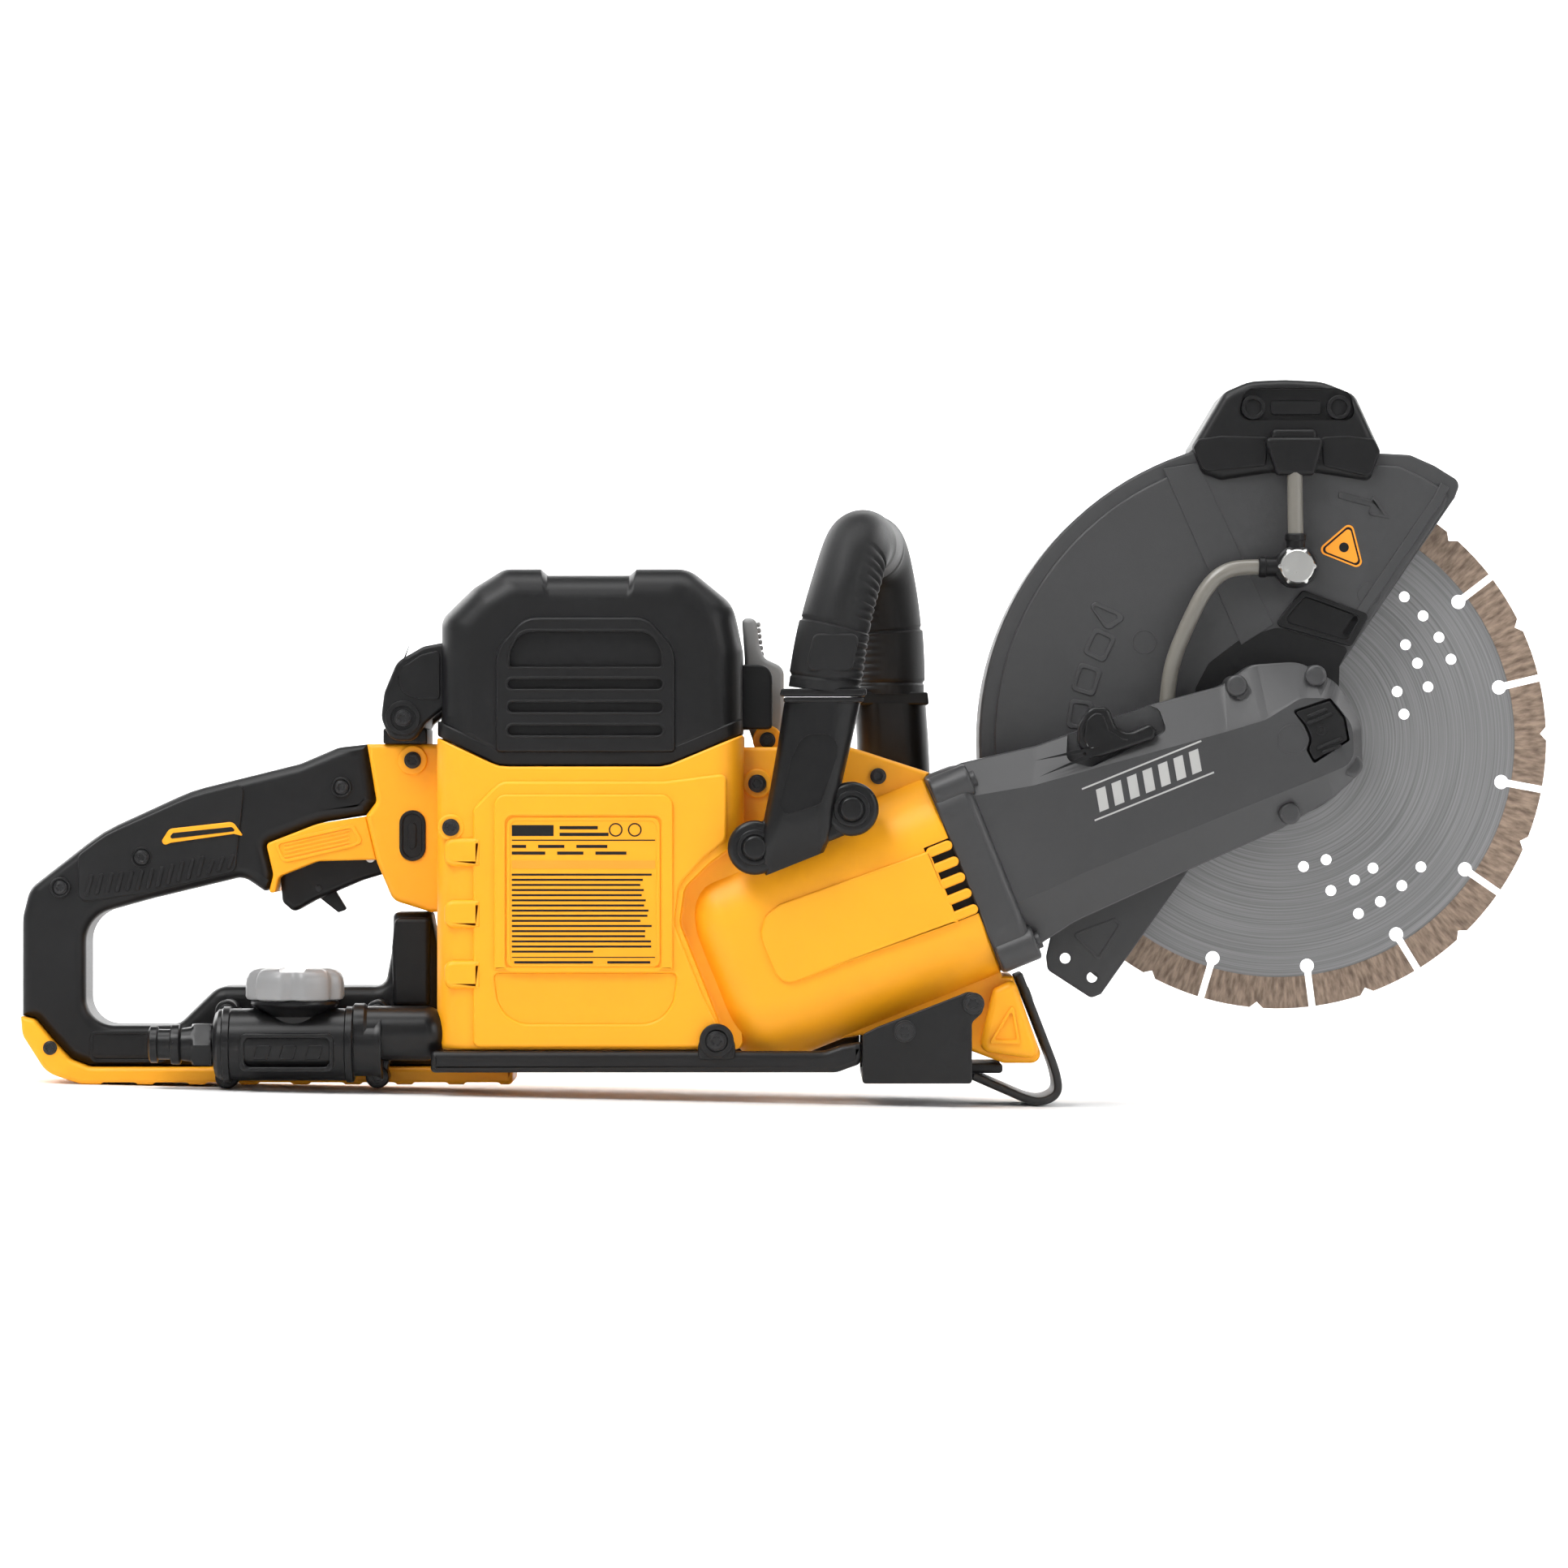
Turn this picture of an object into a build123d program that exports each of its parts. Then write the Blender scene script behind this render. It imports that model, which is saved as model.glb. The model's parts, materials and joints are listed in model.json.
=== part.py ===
from build123d import *
import math
import os

# Cordless rescue saw with a 230 mm wheel. +X is forward, +Z up, and the right side faces -Y.

# ---- wheel and spindle ----
SPINDLE_X, SPINDLE_Z = 211.5, 155.2
WHEEL_R = 115.0
ARBOR_R = 11.1
CORE_R = 101.5
CORE_Y = (5.0, 7.0)
SEGMENT_Y = (4.6, 7.4)
SEGMENTS = 15
SLOT_W = 3.0
SLOT_ROOT_R = 97.5
FIRST_SLOT = 37.4
COOLING_HOLES = ((82.0, (48.5, 40.5, 32.5, 25.0)), (68.4, (36.7, 28.8, 19.5)), (55.3, (22.1, 11.6)))
FLANGE_R = 30.0

# ---- drive ----
ARM_ANGLE = 22.0
SHAFT_Y = -28.0
GEAR_TEETH, PINION_TEETH = 31, 11
MODULE = 1.6
GEAR_R = GEAR_TEETH * MODULE / 2
PINION_R = PINION_TEETH * MODULE / 2
TOOTH_FACE = 8.0
TOOTH_THICK = 1.75
ADDENDUM, DEDENDUM = 1.0, 1.5
STATOR_R, STATOR_S = 24.5, (168.0, 216.0)

# ---- housings ----
WALL = 3.0
BOX_X, BOX_Y, BOX_Z = (-146.0, -17.0), 56.0, 24.6
CAPSULE_Y, CAPSULE_N = -12.0, -2.15
CAPSULE_W, CAPSULE_H, CAPSULE_CORNER = 88.0, 90.3, 28.0
CAPSULE_S = (147.7, 263.0)
SPINE_Y = (-35.0, 28.0)
NECK_Y = 22.0
HANDLE_Y = 18.0
COVER_Y = 52.0
HINGE_X, HINGE_Z, HINGE_PIN_R = -160.7, 164.2, 3.0
LATCH_X, LATCH_Z = -7.0, 155.0
TRIGGER_X, TRIGGER_Z = -176.0, 105.0
PIN_R = 2.0

# ---- gear case and guard ----
ARM_Y = (-52.0, -17.0)
COVER_PLATE_Y = (-17.0, -14.0)
NECK_R = 24.0
GUARD_R, GUARD_T = 128.5, 2.6
GUARD_Y = (-13.4, 35.0)
TAIL_Z = 72.0
HOSE_R, HOSE_Y = 3.3, -20.6
TEE_X, TEE_Z = 217.2, 228.5
LEVER_X, LEVER_Z, LEVER_TRAVEL = 129.0, 153.5, 8.0

# ---- water unit ----
VALVE_Y, VALVE_Z, ELBOW_Z = -44.0, 26.8, 31.5
KNOB_X = -205.8

RUN = 0.06

COS, SIN = math.cos(math.radians(ARM_ANGLE)), math.sin(math.radians(ARM_ANGLE))
REARWARD = (-COS, 0, -SIN)


def side_plane(y):
    """The XZ plane at y, as seen from the right side."""
    return Plane(origin=(0, y, 0), x_dir=(1, 0, 0), z_dir=(0, -1, 0))


def outline(corners):
    """A face from corners (x, z) or (x, z, radius), each joined by a tangent arc."""
    points = [Vector(c[0], c[1]) for c in corners]
    radii = [c[2] if len(c) > 2 else 0 for c in corners]
    arcs = []
    for i, (point, radius) in enumerate(zip(points, radii)):
        if not radius:
            arcs.append((point, point, point, radius))
            continue
        back = (points[i - 1] - point).normalized()
        ahead = (points[(i + 1) % len(points)] - point).normalized()
        half = math.radians(back.get_angle(ahead)) / 2
        reach = radius / math.tan(half)
        middle = point + (back + ahead).normalized() * (radius / math.sin(half) - radius)
        arcs.append((point + back * reach, middle, point + ahead * reach, radius))
    edges = []
    for i, (start, middle, end, radius) in enumerate(arcs):
        if radius:
            edges.append(ThreePointArc(start, middle, end))
        following = arcs[(i + 1) % len(arcs)][0]
        if (following - end).length > 1e-6:
            edges.append(Line(end, following))
    return make_face(edges)


def slab(face, y0, y1):
    """A face of the side view made solid from y0 to y1."""
    return extrude(side_plane(y1) * face, amount=y1 - y0)


def rod(x, z, radius, y0, y1):
    return slab(Pos(x, z) * Circle(radius), y0, y1)


def ring(x, z, outer, inner, y0, y1):
    return slab(Pos(x, z) * (Circle(outer) - Circle(inner)), y0, y1)


def block(x0, x1, y0, y1, z0, z1):
    return Pos((x0 + x1) / 2, (y0 + y1) / 2, (z0 + z1) / 2) * Box(x1 - x0, y1 - y0, z1 - z0)


def on_axis(s, y, n):
    """The point s behind the spindle along the arm and n above the arm's axis."""
    return (SPINDLE_X - s * COS - n * SIN, y, SPINDLE_Z - s * SIN + n * COS)


def axial(face, s0, s1, y=SHAFT_Y):
    """A face across the arm's axis, local (-y, n), made solid from s0 to s1."""
    plane = Plane(origin=on_axis(s0, y, 0), x_dir=(0, -1, 0), z_dir=REARWARD)
    return extrude(plane * face, amount=s1 - s0)


def axial_ring(outer, inner, s0, s1):
    face = Circle(outer) - Circle(inner) if inner else Circle(outer)
    return axial(face, s0, s1)


def group(shapes):
    return Compound(children=list(shapes))


# ---- fasteners ----
def screw(at, into, head_r):
    """Socket screw: at is the seat under its head, into the way its shank points."""
    seat = Plane(origin=at, z_dir=into)
    height = 0.7 * head_r
    head = extrude(seat * Circle(head_r), amount=-height)
    shank = extrude(seat * Circle(0.5 * head_r), amount=2.6 * head_r)
    socket = extrude(seat.offset(-height) * RegularPolygon(0.52 * head_r, 6), amount=0.55 * height)
    return head + shank - socket


def screw_room(at, into, head_r, above=6.0):
    """The space a screw needs in the pieces it passes through."""
    seat = Plane(origin=at, z_dir=into)
    head = extrude(seat * Circle(head_r + 0.35), amount=-above)
    return head + extrude(seat * Circle(0.5 * head_r + RUN), amount=2.6 * head_r + 0.5)


def screw_set(places):
    return group(screw(*place) for place in places)


def rooms(places, above=6.0):
    return [screw_room(*place, above) for place in places]


IN = (0, 1, 0)
HOUSING_SCREWS = [((x, y, z), IN, 3.6) for x, y, z in (
    (-157.5, -19.5, 146.5), (-139.6, -53.5, 118.2), (-11.3, -32.5, 136.6),
)]
HANDLE_SCREWS = [((x, -16.0, z), IN, 3.0) for x, z in (
    (-188.0, 135.0), (-272.8, 105.3), (-307.4, 92.4), (-311.2, 24.5),
)]
VALVE_SCREWS = [((x, -29.0, z), IN, 3.2) for x, z in (
    (-235.2, 40.3), (-171.6, 40.3), (-235.2, 12.7), (-171.6, 12.8),
)]
COLLAR_SCREWS = [(on_axis(133.0, CAPSULE_Y + y, CAPSULE_N + n), REARWARD, 3.6)
                 for y in (-35.0, 35.0) for n in (-37.0, 36.0)]
BAIL_SCREWS = [((x, -66.5, z), IN, 4.6) for x, z in ((-12.2, 109.8), (28.2, 126.0))]
BAIL_SCREWS += [((x, 43.0, z), (0, -1, 0), 4.6) for x, z in ((30.0, 108.0), (60.0, 121.0))]
BRACKET_SCREWS = [((x, -59.2, z), IN, 4.4) for x, z in ((50.5, 32.9), (79.3, 44.5))]
BRACKET_SCREWS += [((x, 35.2, z), (0, -1, 0), 4.4) for x, z in ((50.5, 32.9), (79.3, 44.5))]
RAIL_SCREWS = [((-28.2, -59.2, 28.9), IN, 4.0)]
RAIL_SCREWS += [((x, 31.5, 18.4), (0, 0, 1), 3.4) for x in (-120.0, -28.0)]
CHIN_SCREW = ((101.4, -12, 46.8), (-0.94, 0, -0.35), 3.4)
CASE_SCREWS = [((x, -16.0, z), (0, -1, 0), 3.0) for x, z in (
    (190.3, 177.7), (223.5, 181.9), (238.8, 144.1), (212.7, 124.0), (140.0, 158.0), (150.0, 97.0),
)]


# ---- housing ----
SPINE = [(-40, 24.6), (2, 24.6, 20), (33, 30.5, 5), (78, 24, 5), (92.7, 18.5, 3), (110, 18.5, 4),
         (96.7, 55.2), (92.3, 55.2), (59.6, 138.0), (61.5, 141.2), (36, 149.5, 3), (28, 152, 3), (-20, 152),
         (-40, 143)]
NECK = [(-140, 82), (-150, 82, 3), (-166, 87, 6), (-172.8, 103, 3), (-177.6, 122.8, 2), (-173, 129, 3),
        (-177, 153.4), (-146.5, 153.4), (-140, 153)]


def capsule(w):
    """Motor barrel, w inside its outer form, open to the gear case and flat underneath."""
    section = Pos(0, CAPSULE_N) * RectangleRounded(
        CAPSULE_W - 2 * w, CAPSULE_H - 2 * w, CAPSULE_CORNER - w)
    body = axial(section, CAPSULE_S[0] - (1 if w else 0), CAPSULE_S[1] - w, CAPSULE_Y)
    rear = body.faces().sort_by(Axis((0, 0, 0), REARWARD))[-1]
    body = fillet(rear.edges(), 14 - w)
    return body & block(-100, 100, -80, 60, BOX_Z + w, 200)


def housing_volume(w):
    """Outer form of the joined housing halves, w further in."""
    x0, x1 = BOX_X[0] + w, BOX_X[1] - w
    top = 12 if w else 0
    box = slab(outline([(x0, BOX_Z + w, 4), (x1, BOX_Z + w, 4), (x1, 157.3 + top), (-49.8, 143.8 + top, 6),
                        (-120.1, 143.8 + top, 6), (x0, 156.3 + top)]), -BOX_Y + w, BOX_Y - w)
    plan = Pos((x0 + x1) / 2, 0) * RectangleRounded(x1 - x0, 2 * (BOX_Y - w), 12 - w)
    box = box & extrude(plan, amount=200)
    spine = slab(offset(outline(SPINE), -w), SPINE_Y[0] + w, SPINE_Y[1] - w)
    neck = slab(offset(outline(NECK), -w), -NECK_Y + w, NECK_Y - w)
    return box + spine + neck + capsule(w)


def trigger_room():
    return block(-216.8, -165.0, -8.4, 8.4, 84.0, 111.0) + block(-216.8, -182.0, -8.4, 8.4, 110.0, 113.0)


def housing():
    shell = housing_volume(0) - housing_volume(WALL)
    shell += [rod(-157.5, 146.5, 6.3, -NECK_Y, -4), rod(-157.5, 146.5, 6.3, 4, NECK_Y)]
    shell += [rod(-139.6, 118.2, 5, -BOX_Y + 1, -38) & block(-143.2, -130, -60, 0, 100, 130)]
    shell += [rod(-11.3, 136.6, 5.5, SPINE_Y[0], -20)]
    for side in (-1, 1):
        lug = slab(outline([(-13.3, 150), (-0.7, 150), (-0.7, 155), (-13.3, 155)]) + Pos(LATCH_X, LATCH_Z)
                   * Circle(6.3), min(14.4 * side, 20 * side), max(14.4 * side, 20 * side))
        shell += lug
    rib = slab(outline([(-141.8, 0), (-130.4, 0), (-130.4, 11), (-141.8, 11)]), -BOX_Y - 1.6, -BOX_Y + 1)
    shell += [Pos(0, 0, z) * rib for z in (96.8, 70.9, 45.5)]
    panel = slab(outline([(-130.4, 26, 3), (-24, 26, 3), (-24, 140, 3), (-51, 138, 8), (-119, 138, 8),
                          (-130.4, 128, 3)]), -BOX_Y - 1.6, -BOX_Y + 1)
    shell += panel - capsule(0)
    shell -= [trigger_room(), block(-152, -140, -14, 14, 100, 140)]
    shell -= rod(LATCH_X, LATCH_Z, 6.2, -14.4, 14.4)
    shell -= axial(Pos(0, CAPSULE_N) * Rectangle(90, CAPSULE_H), 120, CAPSULE_S[0], CAPSULE_Y)
    shell -= along_x(-150, -141.6, 11.8, ELBOW_Z)
    shell -= rod(LATCH_X, LATCH_Z, PIN_R + RUN, -21, 21)
    shell -= rod(-157.6, 114.5, 4.6, -NECK_Y - 1, -NECK_Y + 2)
    shell -= rod(TRIGGER_X, TRIGGER_Z, PIN_R + RUN, -15, 15)
    for i in range(5):
        vent = Pos(on_axis(153.0, -56, CAPSULE_N + 7.2 * (i - 2))) * Rot(0, -ARM_ANGLE, 0) * Box(11.5, 16, 4.2)
        far = Pos(on_axis(153.0, 32, CAPSULE_N + 7.2 * (i - 2))) * Rot(0, -ARM_ANGLE, 0) * Box(11.5, 16, 4.2)
        shell -= [vent, far]
    shell -= rooms(HOUSING_SCREWS + COLLAR_SCREWS + BAIL_SCREWS + BRACKET_SCREWS + RAIL_SCREWS, 3.0)
    shell -= [screw_room(*CHIN_SCREW, 3.0)]
    return shell


# ---- rear handle ----
HANDLE = [(-177.2, 153.4), (-189.6, 152, 10), (-206, 145, 20), (-252, 133.6, 60), (-290, 116.2, 60),
          (-321, 92, 10), (-324, 80, 20), (-324, 38), (-318, 36.5, 3), (-311, 28, 6), (-303, 19.5, 6),
          (-295, 16.4, 4), (-146.3, 16.4), (-146.3, 24.6), (-146.3, 60), (-150.2, 81.8), (-166.2, 81.8),
          (-166.6, 67, 8), (-169.6, 50.2, 6), (-241, 50.2, 10), (-258, 33.7, 10), (-296.8, 33.7, 12),
          (-296.8, 80, 14), (-270, 87.4, 40), (-230, 97, 8), (-219.2, 89.6, 2), (-217.2, 98, 6),
          (-220.4, 111, 2), (-198, 119.9, 20), (-177.9, 123.1, 1), (-173.3, 129, 3)]
INSERT = [(-220.1, 111, 2), (-217, 98, 6), (-218.9, 90.2, 1), (-216.2, 90.2, 1), (-214.6, 97, 3), (-198, 103.6, 10),
          (-173.2, 104.2), (-177.7, 122.7), (-198, 119.6, 20)]
GRIP = [(-229, 137, 3), (-252, 131, 60), (-288, 115, 40), (-300, 106, 4), (-300, 86, 4), (-270, 90, 40),
        (-233, 99, 4)]
STRIP = [(-266.4, 109, 1.5), (-261, 117.4, 3), (-234, 120.4, 3), (-229.6, 114.2, 0.4), (-233.5, 115.2, 1),
         (-260.4, 111.4, 1)]
HEEL = [(-323.8, 37.7), (-323.2, 30, 8), (-313, 14, 12), (-298, 8.9, 10), (-115, 8.9, 2), (-115, 16.2, 1),
        (-295, 16.2, 4), (-303.2, 19.4, 6), (-311.3, 28, 6), (-318.2, 36.3, 3)]


def handle():
    face = outline(HANDLE)
    body = slab(face, -HANDLE_Y, HANDLE_Y)
    inner = slab(offset(face, -WALL), -HANDLE_Y + WALL, HANDLE_Y - WALL)
    inner -= [rod(at[0], at[2], 5.0, -HANDLE_Y, HANDLE_Y) for at, _, _ in HANDLE_SCREWS]
    body -= inner
    body -= rooms(HANDLE_SCREWS)
    body -= rooms(VALVE_SCREWS)
    body -= slab(outline(STRIP), -HANDLE_Y - 1, -HANDLE_Y + 1)
    return body - trigger_room()


def handle_insert():
    body = slab(outline(INSERT), -HANDLE_Y - 0.6, HANDLE_Y + 0.6)
    body -= [trigger_room(), rod(TRIGGER_X, TRIGGER_Z, PIN_R + RUN, -15, 15)]
    ribs = [Pos(-206 + 5.5 * i, -HANDLE_Y - 0.6, 109 + 0.9 * i) * Box(1.2, 1.6, 7) for i in range(5)]
    return body + ribs


def handle_grip():
    face = outline(GRIP)
    pads = []
    for y0, y1 in ((-HANDLE_Y - 2, -HANDLE_Y), (HANDLE_Y, HANDLE_Y + 2)):
        pads.append(slab(face, y0, y1) - rooms(HANDLE_SCREWS) - slab(offset(outline(STRIP), 0.3), y0 - 1, y1 + 1))
    return group(pads)


def base_skid():
    body = slab(outline(HEEL), -24, 24)
    notch = slab(outline([(-8, 0), (8, 0), (6.5, 1.2), (-6.5, 1.2)]), -25, 25)
    for i in range(8):
        body -= Pos(-282 + 22 * i, 0, 8.8) * notch
    return body - rooms(HANDLE_SCREWS + VALVE_SCREWS)


def trigger():
    body = slab(outline([(-214.8, 95, 2), (-214, 86, 3), (-209, 81.6, 3), (-199.8, 86.8, 8), (-180, 95.2, 20),
                         (-170, 98.2, 2), (-170, 108, 4), (-182, 108, 2), (-214.8, 103, 2)]), -8, 8)
    body -= [block(-204, -184, -3.2, 3.2, 70, 120), rod(TRIGGER_X, TRIGGER_Z, PIN_R + RUN, -9, 9)]
    return body + rod(-198.4, 92, 1.5, -6, 6)


def lock_off():
    body = slab(outline([(-201.6, 94, 2), (-196, 95, 2), (-191, 90, 2), (-186.6, 82.8, 1), (-190.4, 81.4, 1),
                         (-198, 87.4, 3), (-201.6, 89.5, 2)]), -2.9, 2.9)
    return body - rod(-198.4, 92, 1.5 + RUN, -4, 4)


# ---- battery cover and latch ----
COVER = [(-146.2, 156.9), (-144.4, 164.5), (-144.4, 206, 8), (-131, 219, 14), (-118, 227.1, 10), (-40, 227.1, 14),
         (-21.5, 212, 14), (-17.6, 193, 20), (-17.4, 157.9), (-49.8, 144.4, 6), (-120.1, 144.4, 6)]


def battery_cover():
    plan = Pos(-81.7, 0) * RectangleRounded(129.2, 2 * COVER_Y, 12)
    body = slab(outline(COVER), -COVER_Y, COVER_Y) & extrude(plan, amount=300)
    core = slab(outline([(-141.4, 130), (-141.4, 204, 6), (-129, 216, 12), (-117, 224.1, 8), (-41, 224.1, 12),
                         (-24.5, 210, 12), (-20.6, 193, 18), (-20.6, 130)]), -COVER_Y + WALL, COVER_Y - WALL)
    body -= core
    for z in (178.4, 168.6, 158.9):
        for side in (-1, 1):
            body -= Pos(-83.5, side * COVER_Y, z) * Box(64.9, 3, 4.1)
    body -= slab(outline([(-115, 187, 2), (-51.6, 187, 2), (-51.6, 194, 5), (-58, 199.3, 6), (-108.6, 199.3, 6),
                          (-115, 194, 5)]), -COVER_Y - 1, -COVER_Y + 1.6)
    arm = outline([(-141.6, 170, 2), (-141.6, 195.5), (-152.3, 194.5, 8), (-163.4, 188, 8), (-168.6, 175, 10),
                   (-170.1, 164.2), (-151.3, 164.2)]) + Pos(HINGE_X, HINGE_Z) * Circle(9.4)
    for y0 in (-38, 24):
        body += slab(arm, y0, y0 + 14)
        body -= rod(HINGE_X, HINGE_Z, HINGE_PIN_R + RUN, y0 - 1, y0 + 15)
    for y0 in (-28, 20.6):
        body += slab(outline([(-18.5, 160), (-4.9, 160, 2), (-4.9, 187, 5), (-18.5, 187)]), y0, y0 + 7.4)
    return body


def hinge_base():
    face = outline([(-170, 153.4), (-151.4, 153.4), (-151.4, 160, 1), (-170, 160, 1)])
    return slab(face + Pos(HINGE_X, HINGE_Z) * Circle(9.4), -23.7, 23.7) - rod(
        HINGE_X, HINGE_Z, HINGE_PIN_R + RUN, -25, 25)


def hinge_pin():
    pin = rod(HINGE_X, HINGE_Z, HINGE_PIN_R, -38.3, 38.3)
    return pin + rod(HINGE_X, HINGE_Z, 3.8, -40.3, -38.3) + rod(HINGE_X, HINGE_Z, 3.8, 38.3, 40.3)


def latch():
    face = outline([(-16.6, 164, 3), (-16.8, 190, 30), (-18.0, 207, 2), (-11.8, 207, 3), (-10.4, 195, 12),
                    (-8.4, 190, 4), (0, 186, 5), (0, 166, 8), (-2, 152, 2), (-12, 152, 2)])
    body = slab(face + Pos(LATCH_X, LATCH_Z) * Circle(5.9), -14, 14)
    for i in range(5):
        body += rod(-11.2 + 0.35 * i, 204 - 2.6 * i, 0.7, -12, 12)
    body -= rod(LATCH_X, LATCH_Z, PIN_R + RUN, -15, 15)
    return body - rod(-1, 158, 4, -15, 15)


# ---- battery, electronics ----
def battery_pack():
    body = block(-125, -39, -46, 46, 75, 213)
    body = fillet(body.edges().filter_by(Axis.Z), 8)
    body -= [block(-126, -38, -47, -43, z, z + 3) for z in (110, 122, 134)]
    return body


def terminal_block():
    body = block(-112, -52, -22, 22, 45, 75)
    return body - [block(-106 + 16 * i, -100 + 16 * i, -14, 14, 60, 76) for i in range(3)]


def controller_module():
    body = block(-134, -34, -44, 44, 27.6, 45)
    return body - [block(-130 + 12 * i, -124 + 12 * i, -40, -24, 36, 46) for i in range(8)]


def switch_module():
    return block(-167, -152, -10, 10, 118, 140)


# ---- motor and gear train, in the arm's axis frame ----
def motor_mounts():
    """Two cradle plates around the stator and the plate of the rear bearing."""
    section = Pos(0, CAPSULE_N) * RectangleRounded(
        CAPSULE_W - 2 * WALL - 0.2, CAPSULE_H - 2 * WALL - 0.2, CAPSULE_CORNER - WALL)
    return group(axial(section, s, s + thick, CAPSULE_Y) - axial_ring(bore, 0, s - 1, s + thick + 1)
                 for s, thick, bore in ((170.0, 5.0, STATOR_R + 0.05), (208.0, 5.0, STATOR_R + 0.05),
                                        (226.0, 6.0, 11.05)))


def motor_stator():
    return axial_ring(STATOR_R, 14.5, *STATOR_S)


def motor_bearings():
    return group([axial_ring(11, 5.05, 226, 232), axial_ring(13, 5.05, 136.2, 143.2), axial_ring(10.5, 5.05, 40, 48)])


def rotor_shaft():
    return axial_ring(5.0, 0, 31.0, 235.0) + axial_ring(3.5, 0, 20.0, 31.0)


def rotor_core():
    return axial_ring(13.9, 5.05, STATOR_S[0] + 1, STATOR_S[1] - 1)


def fan():
    disc = axial_ring(22, 5.05, 150, 152)
    blades = [axial(Rot(0, 0, 30 * i) * Pos(14.5, 0) * Rectangle(13, 1.6), 152, 160) for i in range(12)]
    return disc + blades + axial_ring(8.5, 5.05, 152, 160)


def tooth(pitch_r, apex):
    """One straight bevel tooth at local +X, its cone's apex at local z = apex."""
    cone = math.hypot(pitch_r, apex)
    up = (apex / cone, pitch_r / cone)
    shrink = 1 - TOOTH_FACE / cone
    wires = []
    for scale in (1.0, shrink):
        points = []
        for height, side in ((-DEDENDUM - 0.3, 1), (ADDENDUM, 1), (ADDENDUM, -1), (-DEDENDUM - 0.3, -1)):
            half = TOOTH_THICK / 2 - 0.36 * height
            radial = pitch_r + up[0] * height
            axial_z = up[1] * height
            points.append((radial * scale, side * half * scale, apex + (axial_z - apex) * scale))
        wires.append(make_face(Polyline(*points, close=True)))
    return loft(wires, ruled=True)


def bevel(teeth, pitch_r, apex, bore, back, turn):
    """Straight bevel gear with its axis on local Z and its apex at z = apex."""
    cone = math.hypot(pitch_r, apex)
    shrink = 1 - TOOTH_FACE / cone
    root_r = pitch_r - DEDENDUM * apex / cone
    root_z = -DEDENDUM * pitch_r / cone
    small_r, small_z = root_r * shrink, apex + (root_z - apex) * shrink
    profile = Polyline((bore, back), (root_r - 0.3, back), (root_r, root_z), (small_r, small_z),
                       (bore, small_z), close=True)
    body = revolve(Plane.XZ * make_face(profile), Axis.Z)
    one = tooth(pitch_r, apex)
    return body + [Rot(0, 0, turn + 360 / teeth * i) * one for i in range(teeth)]


def bevel_gear():
    """Faces +Y, with one tooth pointing rearward along the arm."""
    frame = Plane(origin=(SPINDLE_X, SHAFT_Y - PINION_R, SPINDLE_Z), x_dir=REARWARD, z_dir=(0, 1, 0))
    return frame.location * bevel(GEAR_TEETH, GEAR_R, PINION_R, 8 + 0.05, -4.0, 0)


def bevel_pinion():
    """Faces the spindle, with a gap pointing at the gear."""
    frame = Plane(origin=on_axis(GEAR_R, SHAFT_Y, 0), x_dir=(0, -1, 0), z_dir=(COS, 0, SIN))
    return frame.location * bevel(PINION_TEETH, PINION_R, GEAR_R, 3.5 + 0.05, -5.0, 180 / PINION_TEETH)


# ---- gear case ----
ARM = [(62, 139), (75, 145.3, 4), (106.6, 152.5, 30), (155.6, 170, 30), (184.3, 177.7, 10), (197, 186.6, 10),
       (217, 188, 16), (233, 179, 14), (243.2, 162, 12), (243.9, 142, 8), (232, 131, 10), (209.5, 117.6, 30),
       (170.2, 100.1, 60), (122.7, 78.5, 40), (108.7, 69.4, 4), (88, 62)]


def gear_case():
    face = outline(ARM)
    arm = slab(face, *ARM_Y)
    near = arm.faces().sort_by(Axis.Y)[0]
    arm = chamfer(near.edges(), 3.0)
    arm -= axial(Rectangle(200, 200), 131.5, 200)
    room = slab(offset(face, -4.0), ARM_Y[0] + 4, ARM_Y[1])
    room -= ring(SPINDLE_X, SPINDLE_Z, 45, 0.001, ARM_Y[0], -46)
    room -= axial(Rectangle(200, 200), 38, 50) - axial_ring(10.55, 0, 30, 60)
    room -= ring(SPINDLE_X, SPINDLE_Z, 16, 13.05, -46.5, -41.2)
    room -= [rod(at[0], at[2], 3.9, *ARM_Y) for at, _, _ in CASE_SCREWS]
    room -= slab(offset(lever_sweep(), 3.2), ARM_Y[0], -38)
    arm -= room
    square = Pos(0, CAPSULE_N) * RectangleRounded(CAPSULE_W - 2, CAPSULE_H - 1, 20)
    collar = axial(square, 131, CAPSULE_S[0], CAPSULE_Y)
    collar -= axial(Pos(0, CAPSULE_N) * RectangleRounded(CAPSULE_W - 16, CAPSULE_H - 16, 18), 136, 150, CAPSULE_Y)
    collar += axial_ring(17, 0, 136, 143.2)
    collar -= [axial_ring(13.05, 0, 136, 150), axial_ring(9, 0, 120, 150)]
    collar += [axial(Pos(-y, CAPSULE_N + n) * Circle(7.5), 131, CAPSULE_S[0], CAPSULE_Y)
               for y in (-35.0, 35.0) for n in (-37.0, 36.0)]
    body = arm + collar
    body -= [lock_pocket(), block(227, 231.5, -48, -45, 154.5, 159.5), axial_ring(9, 0, 120, 140)]
    body -= rooms(COLLAR_SCREWS, 4.0)
    body -= rooms(CASE_SCREWS, 4.0)
    body -= Pos(162.2, HOSE_Y, 178.3) * Cylinder(HOSE_R + 0.9, 20)
    body -= slab(offset(lever_sweep(), 0.5), -60, -41.4)
    body -= rod(LEVER_X, LEVER_Z, PIN_R + RUN, -50, -36)
    return body


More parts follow.
